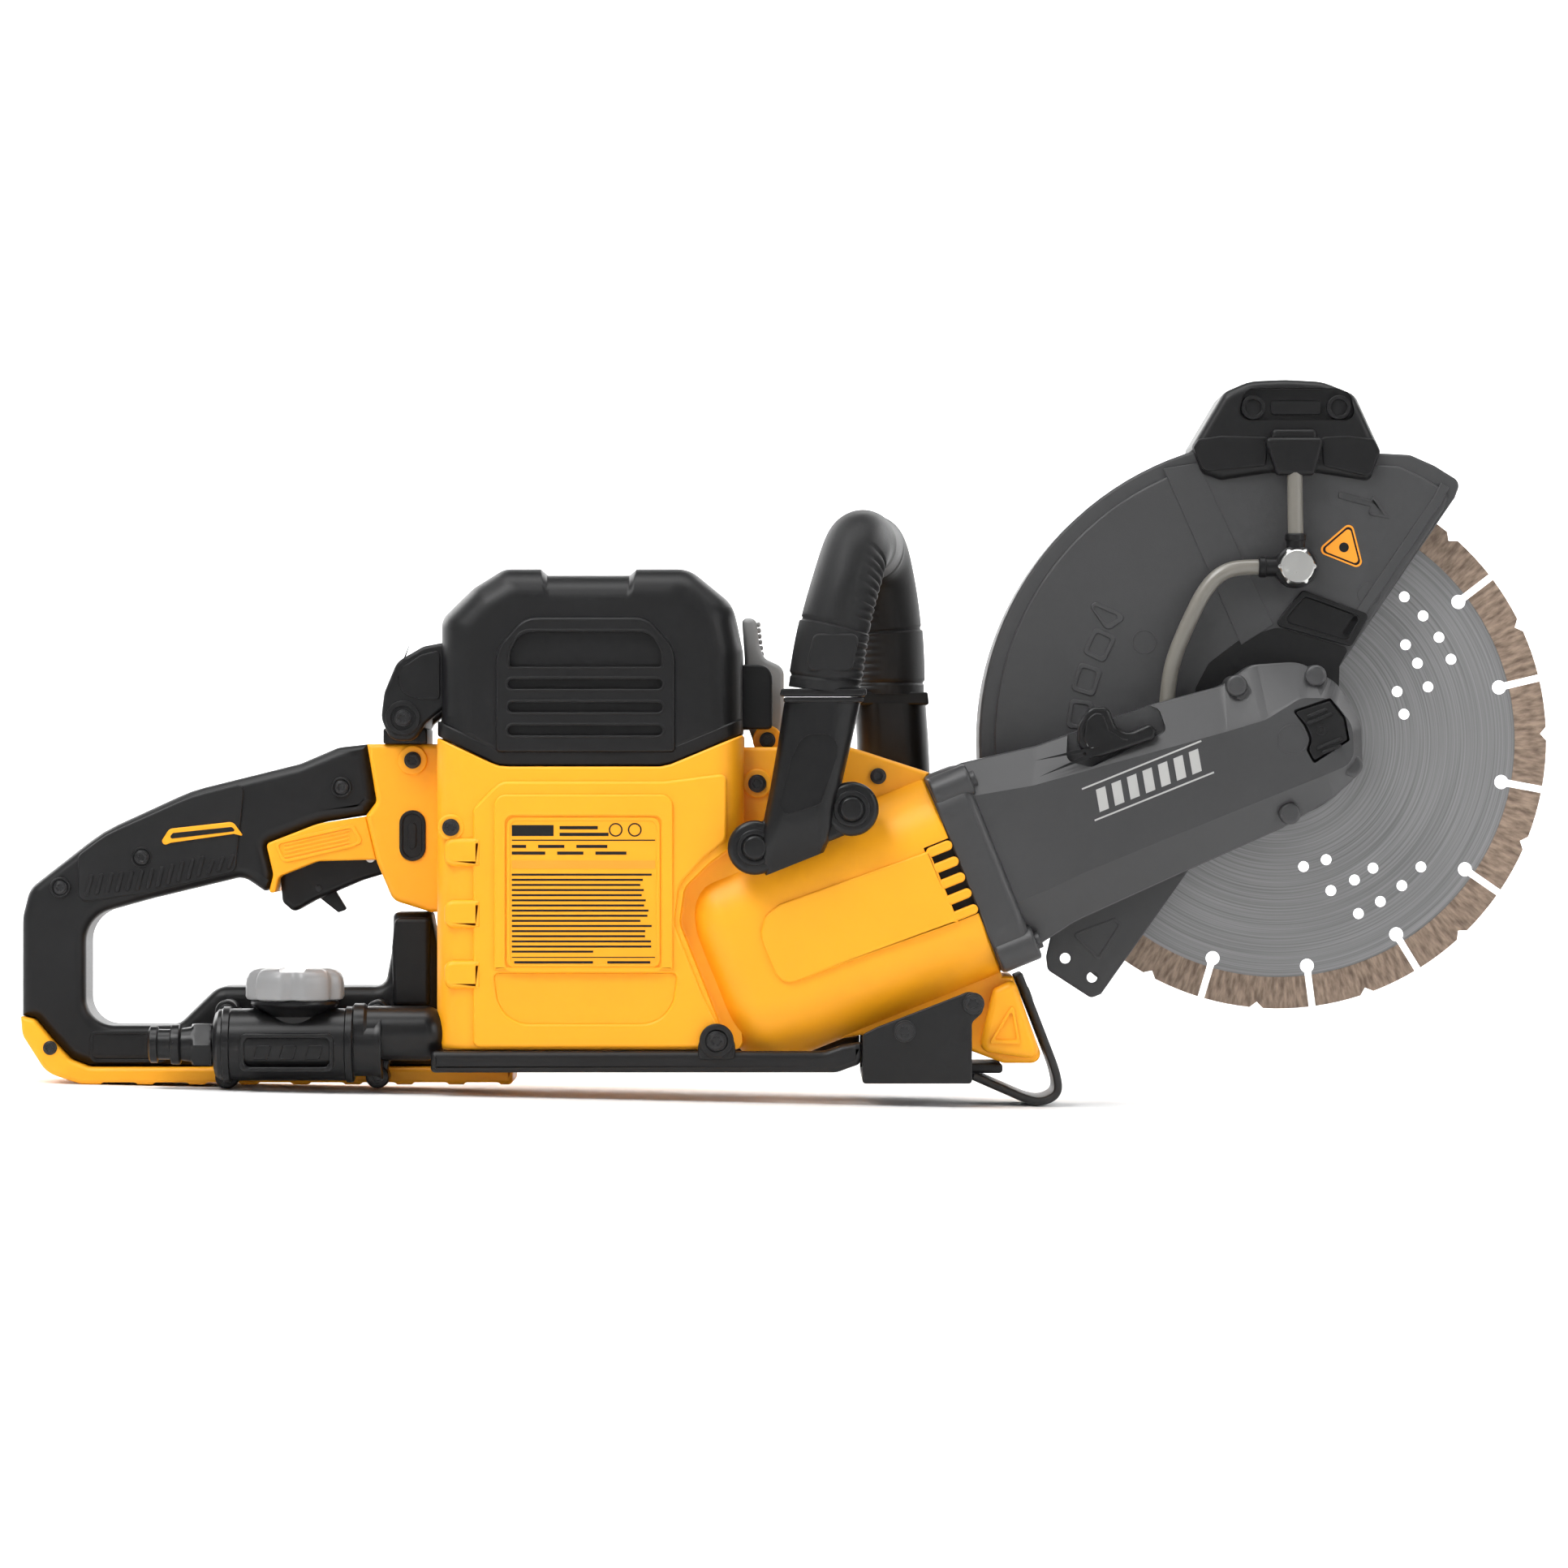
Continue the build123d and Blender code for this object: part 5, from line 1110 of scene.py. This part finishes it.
def hex_head(name, x, z, apothem, y0, y1, dome=1.0):
    """A hexagon head whose corners are turned off at both ends."""
    corner = apothem / math.cos(math.pi / 6)
    rings = []
    for y, reach in ((y0, apothem * 0.94), (y0 + 0.35 * dome, apothem * 1.0), (y0 + dome, corner),
                     (y1, corner)):
        ring = []
        for i in range(72):
            a = math.tau * i / 72
            r = min(hex_wall(a, apothem), reach)
            ring.append(Vector((x + r * math.sin(a), y, z + r * math.cos(a))))
        rings.append(ring)
    return shade(made(name, loft_mesh(rings), BRIGHT))


def route_points(route, count):
    """Points of a smooth line through the pull of the route's points."""
    curve = bpy.data.curves.new("route", "CURVE")
    curve.dimensions = "3D"
    spline = curve.splines.new("NURBS")
    spline.points.add(len(route) - 1)
    for target, point in zip(spline.points, route):
        target.co = (*point, 1)
    spline.order_u = 3
    spline.use_endpoint_u = True
    spline.resolution_u = count
    holder = bpy.data.objects.new("route", curve)
    bpy.context.scene.collection.objects.link(holder)
    mesh = bpy.data.meshes.new_from_object(holder.evaluated_get(bpy.context.evaluated_depsgraph_get()))
    points = [v.co.copy() for v in mesh.vertices]
    bpy.data.objects.remove(holder)
    return points


def sweep_mesh(points, section, hint=Vector((0, 1, 0))):
    """Rings along a line: section(share) gives (across, up) offsets, kept square to the line."""
    rings = []
    for i, point in enumerate(points):
        ahead = (points[min(i + 1, len(points) - 1)] - points[max(i - 1, 0)]).normalized()
        side = ahead.cross(hint).normalized()
        up = side.cross(ahead).normalized()
        rings.append([point + side * a + up * b for a, b in section(i / (len(points) - 1))])
    return loft_mesh(rings)


def round_section(radius, count=24):
    turns = [math.tau * k / count for k in range(count)]
    return [(radius * math.cos(a), radius * math.sin(a)) for a in turns]


LOWER_HOSE = [(162.4, 168.8), (163.2, 180.0), (165.6, 190.2), (169.5, 200.0), (173.6, 209.0),
              (177.6, 217.0), (182.6, 223.6), (188.6, 227.4), (195.6, 228.5), (204.0, 228.5)]
UPPER_HOSE = [(TEE[0], TEE[1] + 12), (TEE[0] - 0.2, 252), (TEE[0] - 0.4, 268.5)]


def hose(name, route):
    """A round tube along (x, z) points beside the guard."""
    line = route_points([Vector((x, HOSE_Y, z)) for x, z in route], 10)
    return shade(made(name, sweep_mesh(line, lambda t: round_section(HOSE_RADIUS)), HOSE))


lower_tube = hose("water_hose_lower", LOWER_HOSE)
upper_tube = hose("water_hose_upper", UPPER_HOSE)
place(guard_shell(), "guard", "guard_paint", "guard_shell")
place(guard_marks(), "guard", "guard_paint")
for mark in hazard_mark():
    place(mark, "guard", "black_plastic")
place(guard_pad(), "guard", "black_plastic", "guard_pad")
handle_body, handle_details, nozzle_body = guard_handle()
place(handle_body, "guard", "black_plastic", "guard_handle")
place(handle_details, "guard", "black_plastic")
place(nozzle_body, "guard", "black_plastic", "nozzle_block")
place(tee(), "guard", "black_plastic", "tee_fitting")
place(hex_head("tee_hex_bolt", *TEE, 7.1, -30.7, -24.4), "guard", "bright_steel", "tee_bolt")
place(upper_tube, "guard", "hose_clear", "hose_upper")
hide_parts("hose_lower")


def row_point(x, y, z):
    return tuple(ORIGIN + Vector((x, y, z)) / 1000)


row_point(163, HOSE_Y, 178)
row_point(188, HOSE_Y, 224)
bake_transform(lower_tube)


# ---- front carry handle ----
NEAR_LEG = [(103.0, -7.6, 16.6, -68.0, -56.6, 3), (108.0, -10.2, 19.2, -70.6, -56.0, 5),
            (114.0, -10.6, 20.6, -72.6, -54.5, 7), (121.0, -9.4, 21.6, -73.4, -53.0, 8),
            (137.0, -5.6, 24.6, -73.6, -51.0, 9), (153.0, -2.6, 28.0, -73.6, -49.6, 10),
            (166.0, -0.6, 31.0, -73.6, -48.2, 11), (171.4, 0.2, 32.2, -73.6, -47.6, 11)]
FAR_LEG = [(106.0, 33.6, 58.4, 33.4, 45.0, 3), (112.0, 31.6, 61.0, 33.0, 48.0, 6),
           (122.0, 31.4, 62.8, 32.6, 51.5, 8), (140.0, 31.8, 63.4, 32.2, 54.5, 10),
           (155.0, 31.6, 62.8, 32.0, 56.8, 11), (171.4, 30.6, 61.6, 31.6, 58.0, 11)]


NEAR_FEET = ((-12.2, 109.8), (28.2, 126.0))


def leg_column(stations):
    """A leg of the bow: rounded rectangular sections from its foot up to the grip's flange."""
    rings = []
    for z, x0, x1, y0, y1, corner in stations:
        section = rounded_rect(x1 - x0, y1 - y0, min(corner, (y1 - y0) / 2 - 0.2), steps=6)
        slant = 0.4 * max(0.0, 1 - (z - stations[0][0]) / 45)
        rings.append([Vector(((x0 + x1) / 2 + p.x, (y0 + y1) / 2 + p.y, z + p.x * slant)) for p in section])
    return loft_mesh(rings)


def bail_legs():
    parts = [([slot_path(8.0, 117.9, 62.0, 18.4, 21.8)], -68.6, -56.2, 2.2, 4)]
    for x, z in NEAR_FEET:
        parts.append(([circle(x, z, 11.4)], -69.4, -56.4, 2.4, 4))
        parts.append(([circle(x, z, 7.6), circle(x, z, 5.3)], -70.0, -66, 0.6))
    parts += [([circle(x, z, 5.0, 28)], -71.4, -66, 1.2) for x, z in NEAR_FEET]
    for low, high, wide in ((170.4, 172.6, 0.4), (173.0, 176.2, 1.6)):
        ring = corner_path([(-0.4 - wide, low, 1), (32.4 + wide, low, 1), (33.0 + wide, high, 1),
                            (0.6 - wide, high, 1)])
        parts.append(([ring], -74.0 - wide * 0.2 + 0.2, -47.8, 0.9))
    near_mesh = plates("carry_leg_near", GLOSS, parts)
    near_column = made("carry_column_near", leg_column(NEAR_LEG), GLOSS)
    recess = corner_path([(-3.4, 122, 4), (15.2, 128, 4), (22.6, 149, 6), (21.6, 157.3, 6),
                          (8.0, 157.3, 8), (3.0, 147, 6)])
    cut(near_column, [plate_mesh([recess], -80, -72.2, 0.1, 1)])
    shade(near_column, 50)
    parts = [([slot_path(45, 114.5, 55.0, 18.4, 23.4)], 32.2, 44.4, 2.2, 4)]
    for x, z in ((30, 108), (60, 121)):
        parts.append(([circle(x, z, 11.4)], 33, 45.8, 2.4, 4))
    parts.append(([corner_path([(29.4, 170.6, 1), (62.8, 170.6, 1), (62.2, 176.2, 1),
                                (29, 176.2, 1)])], 32, 58.8, 0.9))
    far_column = shade(made("carry_column_far", leg_column(FAR_LEG), GLOSS), 50)
    return near_mesh, near_column, plates("carry_leg_far", GLOSS, parts), far_column


def bail_grip():
    """Rubber-covered bow, slightly squared in section, with pads and fine ribs on its inner side."""
    centre = [Vector(p) for p in ((16.8, -60, 175.4), (18.6, -60, 190), (22.0, -60, 206),
                                  (26.4, -57.5, 222), (30.6, -50, 236), (33.4, -34, 238.8),
                                  (35.0, -14, 237.8), (36.6, 8, 237.8), (38.6, 24, 238.6),
                                  (41.0, 37, 232), (44.2, 43.4, 214), (46.0, 44, 192), (45.8, 44, 175.4))]
    line = route_points(centre, 26)
    lengths = [0.0]
    for a, b in zip(line, line[1:]):
        lengths.append(lengths[-1] + (b - a).length)
    count = 300
    even = []
    for k in range(count + 1):
        d = lengths[-1] * k / count
        j = min(int(np.searchsorted(lengths, d)), len(lengths) - 1)
        j = max(j, 1)
        share = (d - lengths[j - 1]) / max(lengths[j] - lengths[j - 1], 1e-9)
        even.append(line[j - 1].lerp(line[j], share))

    def section(t):
        along = lengths[-1] * t
        edge = min(along, lengths[-1] - along)
        base = 14.75 - 1.0 * min(edge / 70, 1)
        step_out = 0.45 if 5.5 < edge < 27 else 0.0
        groove = 0.5 if abs(edge - 5.0) < 0.7 or abs(edge - 27.6) < 0.7 else 0.0
        ribs = 0.7 * max(0.0, math.sin(along * math.tau / 3.2)) if 31 < edge < 60 or edge < 26 else 0.0
        points = []
        for k in range(48):
            a = math.tau * k / 48
            square = 1 + 0.02 * math.cos(4 * a)
            inside = min(max(0.0, 1.6 * math.cos(a + math.pi) - 0.3), 1.0)
            r = (base + step_out - groove - ribs * inside) * square
            points.append((r * math.cos(a), r * math.sin(a)))
        return points
    return shade(made("carry_grip", sweep_mesh(even, section), RUBBER), 40)


near_leg, near_column, far_leg, far_column = bail_legs()
place(near_leg, "body", "gloss_black", "bail_handle")
for piece in (near_column, far_leg, far_column):
    place(piece, "body", "gloss_black")
place(bail_grip(), "body", "grip_rubber", "bail_grip")
pads = [([corner_path([(8.6, 183.5, 3), (28.4, 183.5, 3), (31.6, 199, 3),
                       (12.4, 199, 3)])], -75.4, -71, 0.9, 3)]
place(plates("carry_grip_pad", RUBBER, pads), "body", "grip_rubber")


# ---- base frame ----
def base_frame():
    rail = corner_path([(-148, 15.5, 2), (22, 15.5, 8), (31.5, 18.9, 2), (32.6, 22, 2), (32.6, 28.4, 1),
                        (24, 27, 6), (17, 24.5, 8), (-148, 24.5, 2)])
    parts = [([rail], -59.5, -51.5, 2.6, 4), ([rail], 27.5, 35.5, 2.6, 4)]
    boss = corner_path([(-36, 21, 2), (-36, 28.9, 7.7), (-28.2, 36.9, 7.7), (-20.4, 28.9, 7.7),
                        (-20.4, 21, 2)])
    parts.append(([boss], -60.2, -54, 0.9))
    parts.append(([circle(-28.2, 28.9, 7.2), circle(-28.2, 28.9, 4.6)], -61.4, -58, 0.5))
    bracket = corner_path([(32.8, 10.9, 1.5), (78.7, 10.9, 1.5), (78.7, 36.7, 3), (84.8, 42, 5),
                           (80, 50.9, 5.4), (74, 48.2, 3), (38.7, 34.5, 4), (32.8, 31.5, 2)])
    holes = [circle(50.5, 32.9, 3.0, 24), circle(79.3, 44.5, 3.0, 24)]
    parts += [([bracket] + holes, -59.5, -56.3, 0.7), ([bracket] + holes, 32.3, 35.5, 0.7)]
    parts.append(([corner_path([(32.8, 10.9, 1.5), (78.7, 10.9, 1.5), (78.7, 14.0),
                                (32.8, 14.0)])], -58.5, 34.5, 0.5))
    parts.append(([corner_path([(78.6, 14.2, 0.5), (92.4, 14.2, 1.5), (92.4, 18.3, 1.5),
                                (78.6, 18.3, 0.5)])], -34, 10,
                  1.0))
    return plates("base_frame_rails", SHEET, parts)


def strap():
    """Rubber band from the chin round the front and back under it."""
    route = [Vector(p) for p in ((99.3, 0, 55.6), (104.6, 0, 42), (110.8, 0, 26), (115.2, 0, 14.5),
                                 (116.4, 0, 5.8), (110.5, 0, 2.07), (104, 0, 2.45), (94, 0, 6.8),
                                 (80.2, 0, 12.8))]
    line = [p + Vector((0, -12, 0)) for p in route_points(route, 8)]
    corners = rounded_rect(44, 3.4, 1.5, 4)
    mesh = sweep_mesh(line, lambda t: [(p.y, p.x) for p in corners])
    return shade(made("strap_band", mesh, STRAP))


place(base_frame(), "body", "bracket_steel", "base_frame")
place(strap(), "body", "strap_rubber", "strap_foot")
frame_heads = [(-28.2, -60.4, 28.9, 4.2), (50.5, -59.5, 32.9, 4.6), (79.3, -59.5, 44.5, 4.6),
               (-12.2, -69.6, 109.8, 4.8), (28.2, -69.6, 126.0, 4.8)]
chin_screw = lathe_mesh([(0, 3.6), (2.0, 3.6), (2.6, 3.0), (2.7, 1.8), (1.2, 1.7), (1.1, 0.2)],
                        (102.6, -12, 46.4), (0.94, 0, 0.35), 28)
heads = [screw_mesh(x, y, z, r) for x, y, z, r in frame_heads]
heads += [screw_mesh(x, y, z, r, toward=1) for x, y, z, r in ((50.5, 35.5, 32.9, 4.6),
                                                              (79.3, 35.5, 44.5, 4.6),
                                                              (30, 45.8, 108, 4.8), (60, 45.8, 121, 4.8))]
place(shade(made("frame_screw_heads", merged(heads + [chin_screw]), SCREW)), "body", "screw_black",
      "frame_screws")
CHIN_RIB = [(86, 27, 1), (99.5, 27, 1), (96.6, 44.5, 1)]
middle = Vector((sum(c[0] for c in CHIN_RIB) / 3, sum(c[1] for c in CHIN_RIB) / 3))
inner_rib = [(c[0] + (middle.x - c[0]) * 0.3, c[1] + (middle.y - c[1]) * 0.3, 0.6) for c in CHIN_RIB]
chin_ribs = [([corner_path(CHIN_RIB), corner_path(inner_rib)], -45.2, -43, 0.4)]
place(plates("chin_ribs", YELLOW, chin_ribs), "body", "yellow_shell")


# ---- water unit ----
def valve():
    meshes = []
    body = [(0, 10), (0.8, 13.2), (2.4, 14.8), (4.5, 15.2), (56, 15.2), (58, 14.6), (59.4, 13.4), (60, 12)]
    meshes.append(lathe_mesh(body, (-240, VALVE_Y, VALVE_Z), (1, 0, 0), 56))
    elbow = [(0, 10.8), (1.4, 12.6), (5.6, 12.6), (7.0, 11.5)]
    elbow += [(31 + 9 * math.sin(a), 2.5 + 9 * math.cos(a)) for a in (math.pi / 2 * i / 8 for i in range(9))]
    meshes.append(lathe_mesh(elbow, (-182, VALVE_Y, ELBOW_Z), (1, 0, 0), 48))
    meshes.append(lathe_mesh([(0, 10.5), (0.6, 12.4), (2, 13), (40, 13.4), (43.0, 14.6)],
                             (-212, VALVE_Y, VALVE_Z), (1, 0, 0), 48))
    funnel = [(0, 12), (4, 12.4), (6.6, 14.6), (8.4, 17.8), (9.4, 18.6), (10.4, 18.4), (10.8, 17.4)]
    meshes.append(lathe_mesh(funnel, (KNOB_X, VALVE_Y, 34.6), (0, 0, 1), 56))
    for x in (-236.2, -184.6):
        meshes.append(lathe_mesh([(0, 14.9), (0.7, 16.0), (3.3, 16.0),
                                  (4, 14.9)], (x, VALVE_Y, VALVE_Z), (1, 0, 0), 56))
    for x, z in ((-235.2, 40.3), (-171.6, 40.3), (-235.2, 12.7), (-171.6, 12.8)):
        far = -18.2 if z > 20 else -24.0
        meshes.append(plate_mesh([circle(x, z, 4.9, 28)], -37.6, far, 0.9))
        inward = (x * 0.35 + KNOB_X * 0.65 if x < KNOB_X else -176, VALVE_Z + (4 if z > 20 else -4))
        web = corner_path([(x - 3.4, z, 1), (x + 3.4, z, 1), (x + 5.4, (z + VALVE_Z) / 2, 1),
                           (x - 3.0, inward[1], 1)])
        meshes.append(plate_mesh([web], -36.2, -26, 0.9))
    body_obj = shade(made("valve_housing", merged(meshes), GLOSS))
    panel_out = box_path(-228, -188.6, 16, 32, 3)
    panel_in = box_path(-226, -190.4, 18, 30, 2.4)
    panel = [([panel_out, panel_in], -60.0, -54, 0.8, 3)]
    for i in range(3):
        bar = corner_path([(-222.4 + 10.8 * i, 21, 1), (-216.2 + 10.8 * i, 21, 1),
                           (-214.4 + 10.8 * i, 27, 1), (-220.6 + 10.8 * i, 27, 1)])
        panel.append(([bar], -59.6, -55, 0.4))
    return body_obj, plates("valve_panel", GLOSS, panel)


def connector():
    nose = [(0, 5.2), (0.4, 6.6), (1.2, 7.8), (4.0, 7.8), (4.4, 6.4), (9.4, 6.4), (9.8, 8.2), (10.4, 8.5),
            (13.2, 8.5), (13.8, 8.0), (14.2, 6.8), (19.4, 7.6)]
    mesh = lathe_mesh(nose, (-267.6, VALVE_Y, VALVE_Z), (1, 0, 0), 40)
    bore = lathe_mesh([(-2, 4), (12.6, 4)], (-267.6, VALVE_Y, VALVE_Z), (1, 0, 0), 32)
    rings, turns = [], [math.tau * i / 60 for i in range(60)]
    for x, reach in ((-249, 8.6), (-248, 9.6), (-247.2, 10), (-241.4, 10), (-240.6, 9.6), (-240, 8.6)):
        radii = [min(hex_wall(a, 8.66), reach) for a in turns]
        rings.append([Vector((x, VALVE_Y + r * math.sin(a), VALVE_Z + r * math.cos(a))) for a,
                      r in zip(turns, radii)])
    body = cut(made("inlet_body", mesh, GLOSS), [bore])
    return shade(body), shade(made("inlet_nut", loft_mesh(rings), GLOSS))


def knob():
    """Scalloped grip knob with a rounded top and a slot across it."""
    rings = []
    for z, scale in ((45.3, 0.86), (46.0, 0.97), (47.2, 1.0), (52.5, 1.0), (54.8, 0.985), (56.8, 0.94),
                     (58.2, 0.86), (59.0, 0.74)):
        ring = []
        for i in range(120):
            a = math.tau * i / 120
            dent = max(0.0, math.cos(6 * a + math.pi)) ** 2.2
            r = (20.7 - 2.6 * dent) * scale
            ring.append(Vector((KNOB_X + r * math.cos(a), VALVE_Y + r * math.sin(a), z)))
        rings.append(ring)
    body = made("water_knob_grip", loft_mesh(rings), KNOB)
    slot = plate_mesh([corner_path([(KNOB_X - 6.2, 70, 0.5), (KNOB_X - 5.4, 57.5, 1),
                                    (KNOB_X + 5.4, 57.5, 1), (KNOB_X + 6.2, 70, 0.5)])], -80, 0, 0.1, 1)
    cut(body, [slot])
    skirt = lathe_mesh([(0, 15.6), (1.2, 16.4), (2.2, 16.0)], (KNOB_X, VALVE_Y, 44.2), (0, 0, 1), 56)
    return shade(body, 40), shade(made("water_knob_skirt", skirt, KNOB))


for piece, node in zip(valve() + connector(), ("valve_body", None, "inlet_connector", None)):
    place(piece, "body", "black_plastic", *([node] if node else []))
for piece, node in zip(knob(), ("water_knob", None)):
    place(piece, "water_knob", "knob_grey", *([node] if node else []))
VALVE_HEADS = [(-235.2, -37.8, 40.3, 3.3), (-171.6, -37.8, 40.3, 3.3), (-235.2, -37.8, 12.7, 3.3),
               (-171.6, -37.8, 12.8, 3.3)]
screws("valve_screw_heads", "screw_black", "body", VALVE_HEADS, "valve_screws")

# ---- finishes of the parts kept from the frame ----
FINISH = {
    "wheel_steel": WHEEL, "wheel_rim": RIM, "bright_steel": BRIGHT, "screw_black": SCREW,
    "bracket_steel": SHEET,
    "grey_cast": CAST, "guard_paint": GUARD, "black_plastic": BLACK, "gloss_black": GLOSS,
    "grip_rubber": RUBBER,
    "yellow_shell": YELLOW, "core_steel": CORE, "latch_grey": LATCH_GREY, "hose_clear": HOSE,
    "knob_grey": KNOB,
    "strap_rubber": STRAP, "cell_case": BLACK,
}
for subpart in frame["record"]["subparts"]:
    for material_slot in frame["nodes"][subpart["node"]].material_slots:
        material_slot.material = FINISH[subpart["material_slot"]]


# ---- floor, light and camera ----
def stage():
    """A pale round floor the tool stands on, sloped a touch to meet both its feet, with a wall all round."""
    front, rear = ORIGIN + Vector((106, 0, 0)) / 1000, ORIGIN + Vector((-298, 0, 8.9)) / 1000
    slope = (front.z - rear.z) / (front.x - rear.x)
    work = bmesh.new()
    centre = work.verts.new((0, 0, -0.0004 - front.x * slope))
    rings = []
    for radius, z in ((1.5, 0), (3.0, 0), (4.2, 0.0), (4.5, 0.04), (4.75, 0.2), (4.9, 0.55), (4.95, 3.8)):
        ring = []
        for i in range(96):
            x, y = radius * math.cos(math.tau * i / 96), radius * math.sin(math.tau * i / 96)
            ring.append(work.verts.new((x, y, z - 0.0004 + (x - front.x) * slope)))
        rings.append(ring)
    for i in range(96):
        j = (i + 1) % 96
        work.faces.new((centre, rings[0][i], rings[0][j]))
        for low, high in zip(rings, rings[1:]):
            work.faces.new((low[i], high[i], high[j], low[j]))
    mesh = bpy.data.meshes.new("floor")
    work.to_mesh(mesh)
    work.free()
    mesh.polygons.foreach_set("use_smooth", [True] * len(mesh.polygons))
    floor = bpy.data.objects.new("floor", mesh)
    mesh.materials.append(material("floor_pale", (0.86, 0.86, 0.86), rough=0.75, grain=30, bump=0.02,
                                   vary=0.01))
    bpy.context.scene.collection.objects.link(floor)


def area_light(name, place_, aim, size, power, colour=(1, 1, 1)):
    data = bpy.data.lights.new(name, "AREA")
    data.shape, data.size, data.size_y = "RECTANGLE", size[0], size[1]
    data.energy, data.color = power, colour
    light = bpy.data.objects.new(name, data)
    light.location = place_
    light.visible_camera = False
    light.rotation_euler = (Vector(aim) - Vector(place_)).to_track_quat("-Z", "Y").to_euler()
    bpy.context.scene.collection.objects.link(light)


stage()
area_light("key", (-1.0, -1.35, 2.0), (0, 0, 0.15), (1.2, 0.9), 40)
area_light("fill", (2.1, -1.5, 1.0), (0.05, 0, 0.12), (1.0, 1.4), 15)
area_light("top", (0, -0.1, 1.9), (0, 0, 0.1), (2.4, 0.8), 30)
area_light("rim_rear", (-1.5, 1.2, 1.0), (0, 0, 0.15), (0.8, 1.2), 20)
area_light("rim_front", (1.6, 1.1, 0.9), (0.1, 0, 0.15), (0.8, 1.0), 18)
area_light("backdrop_left", (-1.8, 3.1, 2.6), (-1.0, 4.9, 0.5), (1.8, 0.8), 135)
area_light("backdrop_right", (1.8, 3.1, 2.6), (1.0, 4.9, 0.5), (1.8, 0.8), 135)
world = bpy.data.worlds.new("studio")
bpy.context.scene.world = world
world.use_nodes = True
world.node_tree.nodes["Background"].inputs["Color"].default_value = (0.96, 0.98, 1.0, 1)
world.node_tree.nodes["Background"].inputs["Strength"].default_value = 0.06
lens = bpy.data.cameras.new("camera")
lens.lens, lens.sensor_width = 150, 36
camera = bpy.data.objects.new("camera", lens)
camera.location = (-0.00125, -2.786, 0.13588)
camera.rotation_euler = (math.radians(90), 0, 0)
bpy.context.scene.collection.objects.link(camera)
bpy.context.scene.camera = camera
bpy.context.scene.view_settings.view_transform = "Standard"

bpy.context.view_layer.update()
